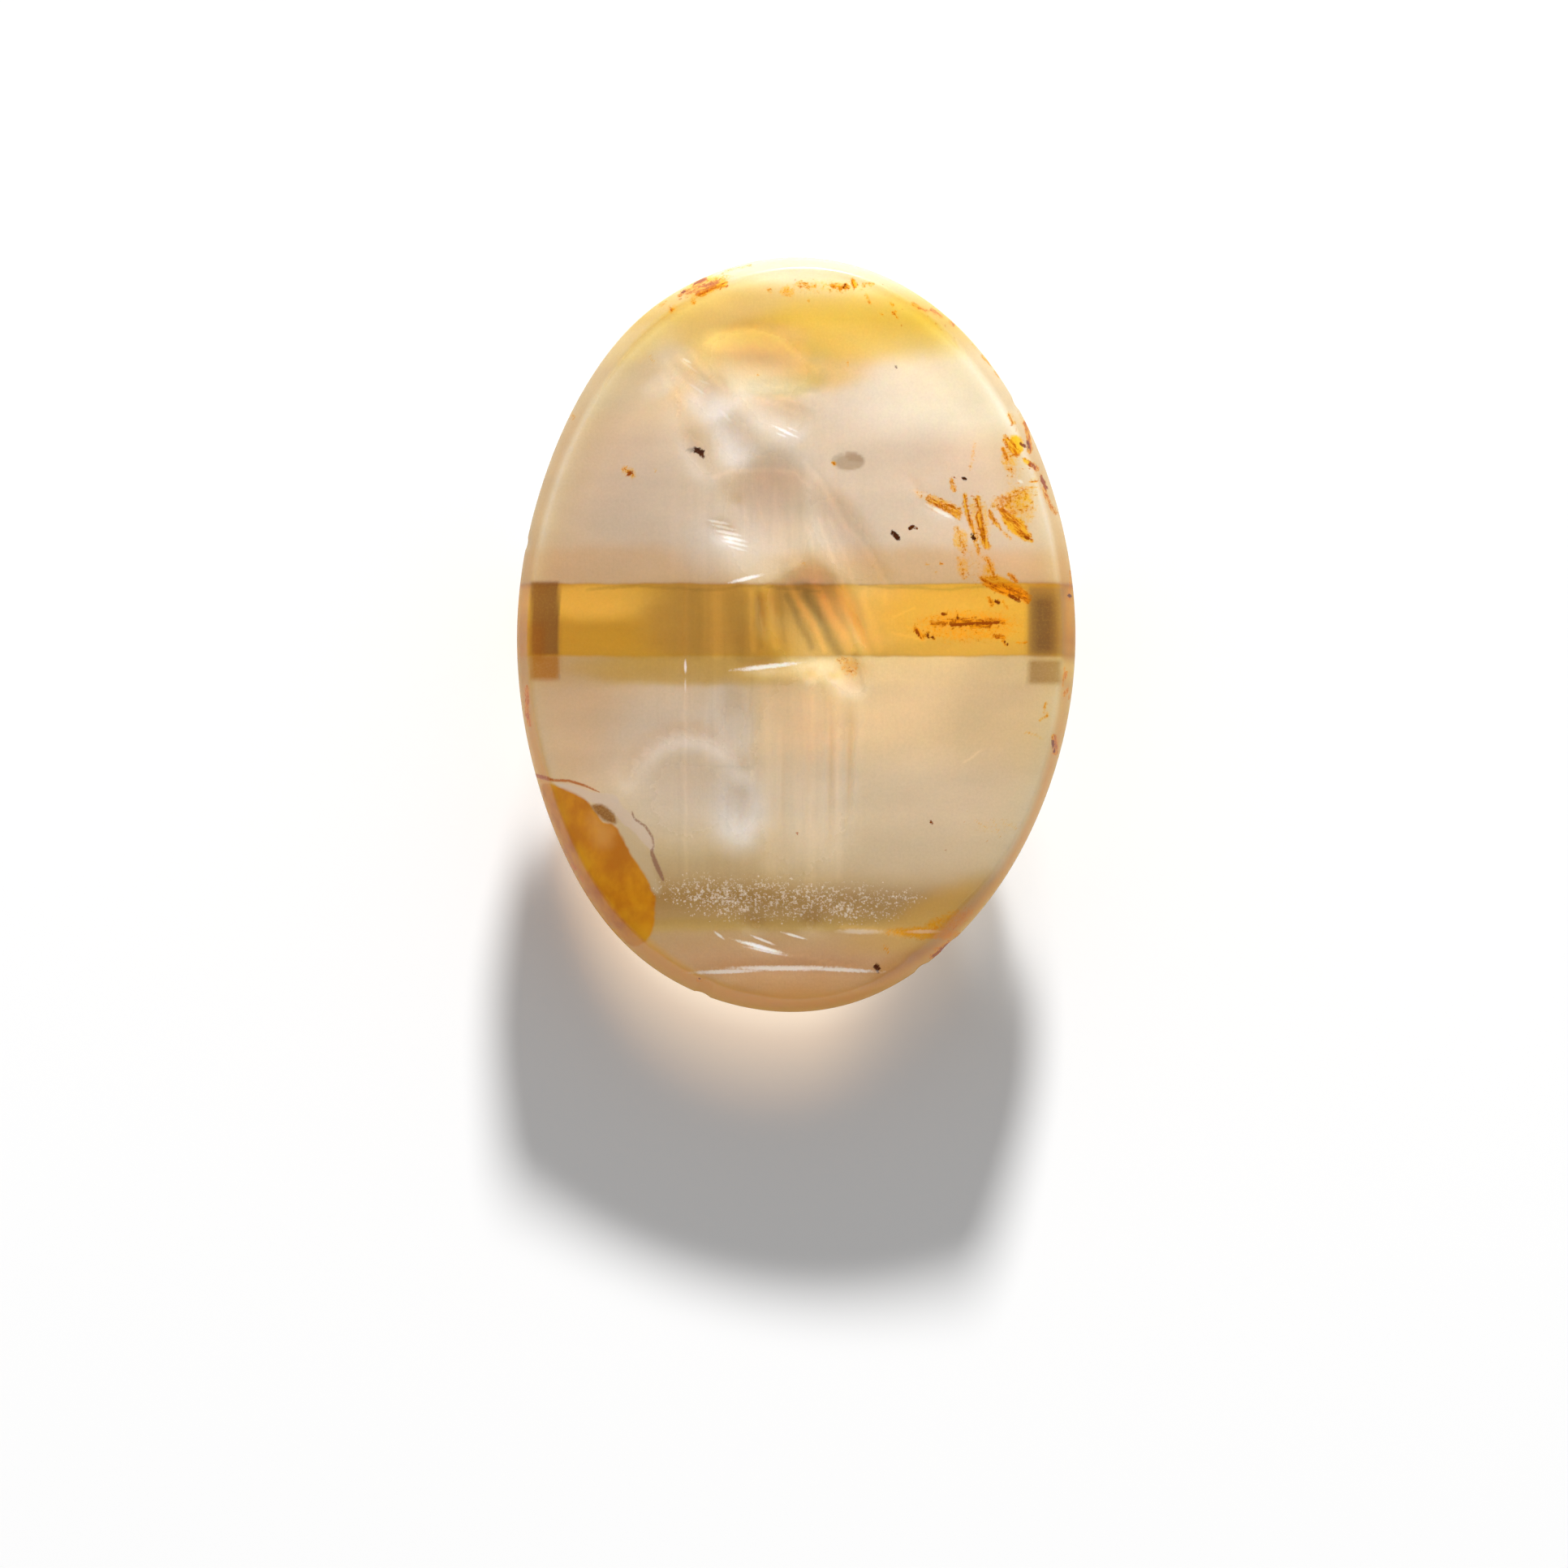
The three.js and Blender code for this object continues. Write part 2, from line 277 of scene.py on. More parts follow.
def arc_rows(arc):
    """The short cuts of an arc, as rows like those of CUTS."""
    across, down, reach_x, reach_y, start, end, count, wide, deep, square = arc
    step = (end - start) / (count - 1)
    rows = []
    for index in range(count):
        turn = math.radians(start + index * step)
        along = (-reach_x * math.sin(turn), reach_y * math.cos(turn))
        spacing = math.hypot(*along) * math.radians(step)
        rows.append((
            across + reach_x * math.cos(turn),
            down - reach_y * math.sin(turn),
            spacing * ARC_OVERLAP,
            wide,
            deep,
            math.degrees(math.atan2(along[1], along[0])),
            square,
        ))
    return rows


def carve_depth(x, y):
    """How deep the engraving is, in millimetres, at places in millimetres."""
    rows = [row for part in CUTS.values() for row in part]
    for arc in CUT_ARCS.values():
        rows += arc_rows(arc)
    depth = np.zeros_like(x)
    for across, down, long, wide, deep, turn, square in rows:
        middle = from_middle(across, down)
        reaches = (long / UNITS / 2, wide / UNITS / 2)
        reach = max(reaches) * 1.3
        near = (np.abs(x - middle[0]) < reach) & (np.abs(y - middle[1]) < reach)
        p, q = oval_place(x[near], y[near], middle, reaches, turn)
        if square == VEE:
            shape = deep * (1 - p * p - np.sqrt(q * q + 0.01) + 0.1)
        elif square:
            rho = np.sqrt(p * p + q * q + 0.01) - 0.005
            shape = deep * (1 - rho**square)
        else:
            shape = deep * np.clip(1 - p * p - q * q, 0, 1) ** 1.6
        blend = min(0.02, deep * 0.5)
        depth[near] = smooth_max(depth[near], np.maximum(shape, -1), blend)
    return depth


def swells(turns, rows):
    """The sum of some bumps round the outline: place and spread in degrees, and height."""
    total = np.zeros_like(turns)
    for place, spread, height in rows:
        away = (np.degrees(turns) - place + 180) % 360 - 180
        total += height * np.exp(-((away / spread) ** 2))
    return total


def girdle_outline():
    """Points of the girdle, as wide and long as the stone, and the directions out of it."""
    turns = np.linspace(0, math.tau, OUTLINE_STEPS, endpoint=False)
    points = np.stack([np.cos(turns), np.sin(turns)], axis=-1)
    points *= 1 + swells(turns, OUTLINE_SWELL_SHARES)[:, None]
    low, high = points.min(axis=0), points.max(axis=0)
    points = (points - (low + high) / 2) / (high - low) * (STONE_WIDTH, STONE_LENGTH)
    along = np.roll(points, -1, axis=0) - np.roll(points, 1, axis=0)
    out = np.stack([along[:, 1], -along[:, 0]], axis=-1)
    return points, out / np.linalg.norm(out, axis=1, keepdims=True)


girdle_points, girdle_out = girdle_outline()


def look_up(values, turns):
    """Values that are known at each step of the outline, read at any turn."""
    place = (turns % math.tau) / math.tau * OUTLINE_STEPS
    first = np.floor(place).astype(int) % OUTLINE_STEPS
    share = (place - np.floor(place))[..., None]
    return values[first] * (1 - share) + values[(first + 1) % OUTLINE_STEPS] * share


def bevel_width(turns):
    """The hand-ground bevel's width, which changes round the stone."""
    waves = 0.12 * np.sin(turns * 3 + 0.6) + 0.06 * np.sin(turns * 7 + 2.0)
    return BEVEL_WIDTH * (1 + swells(turns, BEVEL_SWELL_SHARES) + waves)


def rim_point(turns, inset, level):
    """A point on the skin outside the face: inset from the girdle's outline, at a level."""
    scoop = np.zeros_like(turns)
    for place, half_long, middle, half_tall, reach in RIM_CHIPS:
        away = ((np.degrees(turns) - place + 180) % 360 - 180) / half_long
        bowl = np.clip(1 - away**2 - ((level - middle) / half_tall) ** 2, 0, 1)
        scoop = np.maximum(scoop, reach * np.sqrt(bowl + 1e-9) * bowl**0.3)
    return look_up(girdle_points, turns) - look_up(girdle_out, turns) * (inset + scoop)[..., None]


def face_level(x, y):
    """The level of the uncut face."""
    reach = np.minimum(np.hypot(x / (STONE_WIDTH / 2), y / (STONE_LENGTH / 2)), 1)
    return FACE_EDGE + FACE_CROWN * (1 - reach**2)


class Skin:
    """Vertices in millimetres and the faces between them."""

    def __init__(self):
        self.points = np.zeros((0, 3))
        self.faces = []

    def add(self, points):
        """Adds some vertices and gives their numbers."""
        first = len(self.points)
        self.points = np.concatenate([self.points, points])
        return np.arange(first, len(self.points))

    def add_ring(self, turns, inset, level):
        place = rim_point(turns, inset, level)
        return self.add(np.column_stack([place, np.broadcast_to(level, turns.shape)]))

    def add_band(self, upper, turns, inset, level):
        """A ring under an upper one of as many vertices, and the faces between them."""
        lower = self.add_ring(turns, inset, level)
        corners = [upper, lower, np.roll(lower, -1), np.roll(upper, -1)]
        self.faces += np.stack(corners, axis=-1).tolist()
        return lower


def add_face(skin):
    """The stone's face, a grid of cells drawn out to an oval: its border and the turns there."""
    p = np.linspace(-1, 1, FACE_COLUMNS + 1)
    q = np.linspace(-1, 1, FACE_ROWS + 1)
    s, t = np.meshgrid(
        p * (1 - CENTRE_PULL) + CENTRE_PULL * p**3,
        q * (1 - CENTRE_PULL) + CENTRE_PULL * q**3,
        indexing="ij",
    )
    u = s * np.sqrt(1 - t * t / 2)
    v = t * np.sqrt(1 - s * s / 2)
    turn = np.arctan2(v, u)
    edge = rim_point(turn, bevel_width(turn) + FACE_INSET, FACE_EDGE)
    x = (edge[..., 0] * np.hypot(u, v)).ravel()
    y = (edge[..., 1] * np.hypot(u, v)).ravel()
    index = skin.add(np.column_stack([x, y, face_level(x, y)])).reshape(s.shape)
    corners = [index[:-1, :-1], index[1:, :-1], index[1:, 1:], index[:-1, 1:]]
    skin.faces += np.stack(corners, axis=-1).reshape(-1, 4).tolist()
    border = np.concatenate([index[:-1, 0], index[-1, :-1], index[:0:-1, -1], index[0, :0:-1]])
    return border, turn.ravel()[border]


def add_bevel(skin, ring, turns):
    """The bevel and the girdle, with a slow unevenness."""
    wave = 0.012 * np.sin(turns * 5 + 1) + 0.008 * np.sin(turns * 11 + 2)
    for share, inset, drop in BEVEL_PROFILE:
        level = FACE_EDGE + drop + wave * (share < 1) * min(1, -drop / 0.2)
        ring = skin.add_band(ring, turns, bevel_width(turns) * share + inset, level)
    return ring


def add_halved_ring(skin, upper, turns):
    """The side's first ring, of half as many vertices as the one over it."""
    lower = skin.add_ring(turns, SIDE_TOP_INSET, SIDE_TOP)
    fine, coarse = upper.tolist(), lower.tolist()
    for i, low in enumerate(coarse):
        next_low = coarse[(i + 1) % len(coarse)]
        first, middle, last = fine[2 * i], fine[2 * i + 1], fine[(2 * i + 2) % len(fine)]
        skin.faces += [(first, low, middle), (middle, low, next_low), (middle, next_low, last)]
    return lower


def add_side_and_back(skin, ring, turns):
    """The side, which draws in towards the back with a slight swell, and the flat back."""
    for step in range(1, SIDE_RINGS + 1):
        level = SIDE_TOP + (SIDE_FOOT - SIDE_TOP) * step / SIDE_RINGS
        climb = level / GIRDLE_BOTTOM
        inset = BACK_TAPER * (1 - climb) - SIDE_SWELL * math.sin(climb * math.pi)
        uneven = 0.01 * np.sin(turns * 9 + level * 2.0) * min(1, step / 3)
        ring = skin.add_band(ring, turns, max(inset, 0.0) + SIDE_INSET + uneven, level)
    for inset, level in FOOT_PROFILE:
        ring = skin.add_band(ring, turns, inset, level)
    skin.faces.append(ring[::-1].tolist())


def soften(field, times):
    """Rounds a field over the face's grid."""
    for _ in range(times):
        f = np.pad(field, 1, mode="edge")
        field = (
            f[1:-1, 1:-1] * 4
            + (f[:-2, 1:-1] + f[2:, 1:-1] + f[1:-1, :-2] + f[1:-1, 2:]) * 2
            + f[:-2, :-2] + f[:-2, 2:] + f[2:, :-2] + f[2:, 2:]
        ) / 16
    return field


skin = Skin()
border, border_turns = add_face(skin)
face_count = len(skin.points)
girdle_ring = add_bevel(skin, border, border_turns)
side_ring = add_halved_ring(skin, girdle_ring, border_turns[::2])
add_side_and_back(skin, side_ring, border_turns[::2])

verts = skin.points
face_x, face_y = verts[:, 0].copy(), verts[:, 1].copy()
# 1 over the bevel and the face, and 0 under the girdle
on_front = np.interp(verts[:, 2], FRONT_FADE, (0, 1))

# The engraving fades out at the very border of the face's grid
grid_shape = (FACE_COLUMNS + 1, FACE_ROWS + 1)
inner_cells = np.pad(np.ones((FACE_COLUMNS - 1, FACE_ROWS - 1)), 1)
depth = carve_depth(face_x, face_y) * (verts[:, 2] > CUTS_OVER)
face_depth = soften(depth[:face_count].reshape(grid_shape), 4) * inner_cells
depth[:face_count] = face_depth.ravel()
uneven_face = UNEVENNESS * wave_noise(face_x, face_y, 11, 0.9)
verts[:face_count, 2] += uneven_face[:face_count] * inner_cells.ravel() - depth[:face_count]

mesh = bpy.data.meshes.new("engraved_agate")
mesh.from_pydata((verts * MM).tolist(), [], skin.faces)
mesh.update()
mesh.shade_smooth()
stone = bpy.data.objects.new("engraved_agate", mesh)
bpy.context.scene.collection.objects.link(stone)

# Places on the drawing, and the same shaken a little, so that no mark has a ruled edge
across = MIDDLE_ACROSS + face_x * UNITS
down = MIDDLE_DOWN - face_y * UNITS
shaken_across = across + SHAKE * wave_noise(face_x, face_y, 21, 7.0)
shaken_down = down + SHAKE * wave_noise(face_x, face_y, 22, 7.0)


def rise(values, low, high):
    """0 where the values are under low, 1 where they are over high, and even between."""
    return np.clip((values - low) / (high - low), 0, 1)


def add_field(name, values):
    attribute = mesh.attributes.new(name, "FLOAT", "POINT")
    attribute.data.foreach_set("value", np.asarray(values, np.float32))


def add_colors(name, colors):
    attribute = mesh.attributes.new(name, "FLOAT_COLOR", "POINT")
    attribute.data.foreach_set("color", np.asarray(colors, np.float32).ravel())


def strokes(rows):
    """The strongest of some strokes, and its turn: each runs from a place to a place, with a half
    width and a strength."""
    field = np.zeros_like(across)
    turn = np.zeros_like(across)
    for x0, y0, x1, y1, half, strength in rows:
        _, away = line_place(shaken_across, shaken_down, (x0, y0), (x1, y1))
        value = strength * np.clip(1 - (away / half) ** 2, 0, 1)
        stronger = value > field
        field[stronger] = value[stronger]
        turn[stronger] = math.atan2(y0 - y1, x1 - x0)
    return field, turn


def thin_lines(rows, taper):
    """How near each place is to the nearest of some thin lines, 0.75 at a line's edge, and that
    line's strength: each is a chain of places, a half width and a strength, and narrows by this
    share towards its ends."""
    closeness = np.zeros_like(across)
    power = np.zeros_like(across)
    for chain, half, strength in rows:
        lengths = [math.dist(start, end) for start, end in zip(chain[:-1], chain[1:])]
        done = 0.0
        for start, end, length in zip(chain[:-1], chain[1:], lengths):
            share, away = line_place(across, down, start, end)
            place = (done + share * length) / sum(lengths)
            width = half * (1 - taper * np.abs(2 * place - 1) ** 3)
            value = np.clip(1 - away / (4 * width), 0, 1)
            nearer = value > closeness
            closeness[nearer] = value[nearer]
            power[nearer] = strength
            done += length
    return closeness, power


def blots(rows, seed):
    """Seeded small round spots: each row is a line's two ends, the spread about it, how many spots,
    their largest radius and their strength."""
    draw = np.random.default_rng(seed)
    field = np.zeros_like(across)
    for x0, y0, x1, y1, spread, count, radius, strength in rows:
        for _ in range(count):
            share = draw.uniform()
            spot_x = x0 + (x1 - x0) * share + draw.normal() * spread
            spot_y = y0 + (y1 - y0) * share + draw.normal() * spread
            size = radius * draw.uniform(0.35, 1.0)
            near = (np.abs(across - spot_x) < size) & (np.abs(down - spot_y) < size)
            if near.any():
                away = np.hypot(across[near] - spot_x, down[near] - spot_y) / size
                value = strength * draw.uniform(0.5, 1.0) * np.clip(1 - away * away, 0, 1)
                field[near] = np.maximum(field[near], value)
    return field


def soft_oval(x0, y0, reach_x, reach_y, turn, soft):
    """1 inside an oval and 0 outside, over an edge that is this share of its reach wide."""
    place = oval_place(shaken_across, -shaken_down, (x0, -y0), (reach_x, reach_y), turn)
    share = np.clip((1 + soft / 2 - np.hypot(*place)) / soft, 0, 1)
    return share * share * (3 - 2 * share)


def soft_box(left, right, top, bottom, blur_x, blur_y):
    """1 inside a box and 0 outside, over edges of these widths."""
    share = np.ones_like(across)
    for inside, blur in (
        (across - left, blur_x), (right - across, blur_x), (down - top, blur_y), (bottom - down, blur_y)
    ):
        share *= np.clip(inside / blur + 0.5, 0, 1)
    return share


def laid_over(shapes):
    """Some shapes and their tones laid over each other, as a colour and how much of it covers."""
    color = np.zeros((len(across), 3))
    cover = np.zeros(len(across))
    for share, tone in shapes:
        color = color * (1 - share)[:, None] + np.array(srgb(*tone)[:3]) * share[:, None]
        cover = cover * (1 - share) + share
    return np.column_stack([color / np.maximum(cover, 1e-5)[:, None], cover])


def curve_through(corners, steps=8):
    """A closed smooth line through some corners."""
    corners = np.asarray(corners, float)
    line = []
    for i in range(len(corners)):
        p0, p1, p2, p3 = (corners[(i + k - 1) % len(corners)] for k in range(4))
        for step in range(steps):
            t = step / steps
            line.append(0.5 * (
                2 * p1 + (p2 - p0) * t + (2 * p0 - 5 * p1 + 4 * p2 - p3) * t * t
                + (3 * p1 - p0 - 3 * p2 + p3) * t**3
            ))
    return line


def closed_shape(corners, blur):
    """1 inside a closed smooth line and 0 outside, over an edge of this width."""
    nearest = np.full_like(across, 1e9)
    inside = np.zeros(across.shape, bool)
    line = curve_through(corners)
    for start, end in zip(line, line[1:] + line[:1]):
        _, away = line_place(shaken_across, shaken_down, start, end)
        nearest = np.minimum(nearest, away)
        slope = (end[0] - start[0]) / (end[1] - start[1] + 1e-9)
        inside ^= ((start[1] > shaken_down) != (end[1] > shaken_down)) & (
            shaken_across < slope * (shaken_down - start[1]) + start[0]
        )
    return np.clip(0.5 + np.where(inside, nearest, -nearest) / blur, 0, 1)


def shading(rows):
    """Lighter and darker lines, added up: a chain of places, then a half width and a strength."""
    field = np.zeros_like(across)
    for chain, half, strength in rows:
        nearest = np.min([
            line_place(shaken_across, shaken_down, start, end)[1]
            for start, end in zip(chain[:-1], chain[1:])
        ], axis=0) / half
        field += strength * np.clip(1 - nearest * nearest, 0, 1) ** 1.2
    return field


# Painted light and shade along folds and edges of the engraving, where they catch or lose the light
# inside the stone; a few rows are the stone's own pale scratches and streaks and the dark flow lines
# at the clear layer's top
HELMET_EDGE = ((868, 426), (890, 415), (920, 409), (950, 415), (970, 430), (990, 446), (1008, 460))
CLOAK_RIDGE = ((992, 570), (1012, 600), (1035, 640), (1058, 668), (1074, 690), (1088, 718), (1091, 745))
CHEST_EDGE = ((878, 590), (905, 582), (950, 580), (982, 584), (997, 602))
SHIELD_ARC = ((770, 955), (784, 936), (806, 916), (834, 905), (862, 903), (880, 914), (890, 930))
FOLD_LIGHT_AND_SHADE = (
    (HELMET_EDGE, 3.0, 0.07), (CLOAK_RIDGE, 5.0, 0.06), (CHEST_EDGE, 4.0, 0.08), (SHIELD_ARC, 26.0, 0.07),
    (((1000, 570), (1020, 600), (1043, 640), (1066, 668), (1082, 690), (1096, 718)), 5.0, -0.03),
    (((880, 422), (930, 419), (985, 438)), 18.0, 0.12), (((930, 478), (985, 476), (1010, 470)), 16.0, -0.1),
    (((984, 700), (1012, 716)), 15.0, 0.12),
    (((904, 488), (950, 487), (1008, 482)), 5.0, -0.06), (((936, 474), (1004, 490)), 2.0, 0.06),
    (((936, 484), (1006, 504)), 2.0, 0.06), (((940, 494), (1000, 518)), 2.0, 0.06),
    (((820, 446), (858, 492)), 3.0, 0.08), (((836, 440), (874, 484)), 3.0, 0.08),
    (((850, 436), (892, 482)), 3.0, 0.08), (((812, 462), (846, 502)), 3.0, 0.06),
    (((912, 602), (926, 660)), 2.5, 0.04), (((926, 600), (944, 652)), 2.5, 0.04),
    (((955, 602), (962, 672)), 2.5, 0.04), (((968, 606), (973, 682)), 4.0, -0.04),
    (((986, 622), (991, 702)), 4.0, -0.04), (((1008, 640), (1026, 690), (1038, 722)), 3.0, 0.08),
    (((1022, 640), (1042, 690), (1052, 720)), 3.0, 0.06), (((996, 650), (1006, 716)), 3.0, 0.06),
    (((968, 734), (982, 762), (1000, 798)), 6.0, -0.22), (((994, 734), (1010, 764), (1034, 806)), 7.0, -0.26),
    (((974, 722), (996, 762), (1018, 802)), 5.5, 0.2), (((1004, 722), (1028, 765), (1048, 802)), 8.0, 0.2),
    (((946, 726), (950, 760), (955, 796)), 8.0, 0.16), (((935, 726), (937, 798)), 4.0, -0.12),
    (((959, 726), (967, 790)), 3.5, -0.12), (((1034, 722), (1068, 802)), 9.0, 0.14),
    (((925, 732), (928, 802)), 5.0, 0.14), (((883, 732), (884, 806)), 10.0, 0.14),
    (((858, 732), (858, 806)), 12.0, -0.1), (((907, 732), (912, 806)), 14.0, -0.12),
    (((832, 732), (832, 806)), 12.0, -0.06), (((1062, 735), (1082, 800)), 8.0, 0.1),
    (((973, 836), (975, 1080)), 5.0, -0.035), (((992, 830), (993, 1086)), 4.0, 0.03),
    (((1000, 832), (1001, 1086)), 7.0, 0.06), (((1021, 826), (1023, 1086)), 4.0, 0.02),
    (((1032, 830), (1033, 1080)), 7.0, 0.06), (((1046, 850), (1047, 1060)), 5.0, -0.02),
    (((945, 840), (947, 1076)), 10.0, 0.04), (((845, 832), (846, 1080)), 3.0, 0.07),
    (((838, 832), (838, 1080)), 3.0, -0.04), (((926, 832), (927, 944)), 3.0, -0.06),
    (((882, 945), (926, 946)), 3.0, -0.08), (((872, 850), (873, 940)), 5.0, 0.04),
    (((1052, 806), (1064, 850)), 4.0, -0.08), (((1010, 815), (1050, 850)), 10.0, 0.06),
    (((903, 1164), (980, 1176), (1053, 1190)), 3.0, 0.08),
    (((1037, 1141), (1075, 1144), (1109, 1150)), 4.0, 0.18),
    (((1127, 606), (1150, 618), (1182, 634)), 4.0, 0.08), (((1100, 762), (1126, 750)), 2.0, 0.09),
    (((1100, 780), (1138, 791)), 2.0, 0.09), (((1187, 938), (1207, 926)), 2.0, 0.15),
    (((726, 728), (780, 722), (860, 729), (940, 722), (1010, 730)), 2.5, -0.16),
    (((1060, 722), (1150, 728), (1230, 722), (1262, 726)), 2.5, -0.16),
)
# Painted highlights at the bottoms of the deepest grooves, where the lamp glints: across, down,
# length, width, turn in degrees and strength
GLINT_HIGHLIGHTS = (
    (968, 534, 40, 5.0, -26, 0.85), (963, 538, 18, 3.4, -23, 0.6), (976, 531, 20, 3.4, -24, 0.5),
    (920, 714, 48, 6.0, 14, 0.85), (945, 822, 92, 7.5, 6, 1.0), (937, 1166, 74, 6.5, -16, 1.0),
    (944, 1171, 60, 4.5, -12, 0.7), (941, 1158, 36, 4.0, -22, 0.7), (978, 1152, 36, 4.0, -16, 0.7),
    (887, 1152, 18, 4.0, -38, 0.6), (896, 1196, 100, 6.5, 2, 0.55), (966, 1192, 170, 8.0, 0, 0.65),
    (1038, 1194, 104, 6.5, -3, 0.6), (1158, 632, 46, 7.0, -28, 0.9), (847, 447, 14, 4.0, -27, 0.6),
    (886, 645, 32, 4.6, -10, 0.8), (892, 651, 36, 4.6, -12, 0.7), (898, 658, 40, 5.2, -11, 0.8),
    (904, 665, 40, 5.2, -12, 0.8), (907, 671, 38, 4.6, -13, 0.7), (909, 677, 30, 4.0, -15, 0.5),
    (845, 822, 20, 4.0, 90, 0.8), (845, 845, 20, 3.2, 90, 0.4), (1256, 595, 10, 4.6, -27, 0.7),
    (894, 514, 26, 6.0, -45, 0.3), (849, 453, 36, 4.0, -38, 0.3), (859, 481, 30, 4.0, -34, 0.35),
    (868, 473, 20, 3.6, -20, 0.3), (1137, 1147, 50, 6.0, 1, 0.25), (1060, 1147, 66, 8.0, -1, 0.3),
)
# Soft changes of the milky layers' colour over the face: across, down, the two reaches, turn in
# degrees, softness, colour and strength. Most are the stone's own colour, but some are painted light:
# the face is painted lighter towards its right, the patch over the helmet's upper edge evens out the
# engraving's shading there, and the pale patches under the glints on the head and at the torso's left
# are painted haze of those highlights
MILKY_PATCHES = (
    (700, 620, 110, 170, 0, 1.0, (204, 177, 146), 0.7),
    (820, 640, 90, 90, 0, 1.0, (212, 186, 162), 0.6),
    (1150, 590, 230, 150, 0, 0.9, (230, 207, 180), 0.75),
    (1190, 480, 170, 60, 6, 0.8, (238, 225, 206), 0.8),
    (760, 460, 90, 44, 20, 0.9, (212, 192, 162), 0.8),
    (1060, 410, 130, 34, -3, 0.8, (226, 198, 92), 0.6),
    (870, 388, 90, 30, 12, 0.9, (226, 198, 132), 0.75),
    (936, 452, 76, 38, -14, 0.25, (229, 203, 136), 0.6),
    (760, 700, 150, 26, 0, 0.9, (208, 168, 126), 0.7),
    (1130, 700, 200, 24, 0, 0.9, (222, 180, 130), 0.7),
    (700, 890, 90, 80, 0, 0.9, (206, 168, 132), 0.6),
    (850, 880, 90, 50, 0, 0.9, (216, 188, 160), 0.6),
    (870, 826, 160, 18, 0, 0.6, (200, 156, 84), 0.8),
    (1150, 826, 200, 20, 0, 0.6, (244, 212, 150), 0.95),
    (1130, 890, 200, 70, 0, 0.9, (240, 207, 158), 0.85),
    (1240, 900, 80, 120, 0, 0.9, (212, 180, 136), 0.6),
    (1120, 1010, 230, 80, 0, 0.9, (220, 194, 162), 0.7),
    (860, 1050, 110, 34, 0, 0.9, (196, 166, 126), 0.5),
    (1170, 1124, 80, 30, 24, 0.8, (202, 154, 74), 0.6),
    (1120, 1152, 80, 22, 8, 0.8, (204, 160, 92), 0.5),
    (980, 1236, 70, 16, 0, 0.9, (212, 150, 86), 0.5),
    (945, 700, 44, 16, 0, 0.8, (208, 172, 122), 0.6),
    (1060, 708, 40, 16, 0, 0.9, (214, 170, 116), 0.6),
    (1120, 1190, 50, 20, 20, 0.9, (190, 132, 64), 0.6),
    (1000, 424, 70, 16, -18, 0.9, (230, 196, 96), 0.6),
    (1016, 462, 44, 18, 0, 1.2, (236, 198, 104), 0.6),
    (790, 424, 50, 20, 20, 0.9, (230, 207, 154), 0.7),
    (928, 421, 56, 16, 2, 1.0, (239, 214, 149), 0.68),
    (905, 505, 50, 44, -40, 1.2, (222, 206, 190), 0.35),
    (868, 490, 20, 26, 20, 1.2, (226, 216, 208), 0.35),
    (900, 528, 18, 42, 20, 1.2, (232, 222, 214), 0.5),
    (836, 452, 30, 18, -40, 1.3, (230, 218, 204), 0.4),
    (812, 478, 22, 14, 30, 0.8, (226, 212, 196), 0.4),
    (968, 545, 26, 10, 20, 0.8, (228, 214, 200), 0.3),
    (940, 566, 60, 16, 0, 0.8, (222, 206, 188), 0.45),
    (940, 630, 62, 48, 0, 0.6, (224, 196, 160), 0.5),
    (892, 676, 54, 38, -20, 1.5, (220, 204, 190), 0.5),
    (896, 897, 32, 52, 0, 0.7, (214, 194, 174), 0.5),
    (910, 998, 34, 46, 0, 1.1, (224, 210, 198), 0.7),
    (840, 950, 90, 74, 0, 1.2, (215, 194, 174), 0.55),
    (1047, 571, 18, 10, 8, 0.35, (194, 160, 128), 0.75),
    (1052, 564, 12, 6, -20, 0.35, (190, 154, 122), 0.6),
    (1032, 566, 8, 5, 30, 0.4, (196, 170, 140), 0.6),
    (852, 555, 6, 3, 0, 0.5, (160, 136, 116), 0.7),
)
# Changes of colour that show in the clear layer only: its own tints, and painted shade where the
# engraving crosses it
CLEAR_PATCHES = (
    (740, 742, 80, 22, 0, 0.9, (232, 178, 76), 0.8),
    (760, 792, 120, 18, 0, 0.8, (206, 150, 48), 0.7),
    (875, 765, 80, 60, 0, 0.8, (190, 138, 62), 0.85),
    (960, 740, 60, 40, 0, 0.9, (196, 146, 64), 0.5),
    (1100, 760, 90, 50, 0, 0.9, (240, 190, 104), 0.8),
    (1190, 762, 110, 54, 0, 0.8, (244, 190, 72), 0.85),
    (1200, 800, 110, 12, 0, 0.8, (230, 178, 76), 0.7),
    (1010, 790, 50, 34, -60, 0.8, (224, 176, 92), 0.5),
)
# Painted shade at the ends of the clear layer, where it looks out through the stone's sloping sides,
# which send little light back: left and right edge, upper and lower edge, blur across and down,
# colour and strength
CLEAR_END_SHADES = (
    (655, 690, 718, 808, 4, 4, (136, 88, 42), 0.85),
    (655, 672, 770, 812, 8, 14, (156, 94, 26), 0.6),
    (655, 690, 808, 838, 5, 7, (170, 106, 8), 0.78),
    (1265, 1312, 724, 808, 7, 6, (164, 122, 66), 0.75),
    (1271, 1299, 736, 806, 14, 14, (122, 84, 48), 0.7),
    (1266, 1307, 814, 843, 8, 6, (162, 122, 58), 0.75),
)
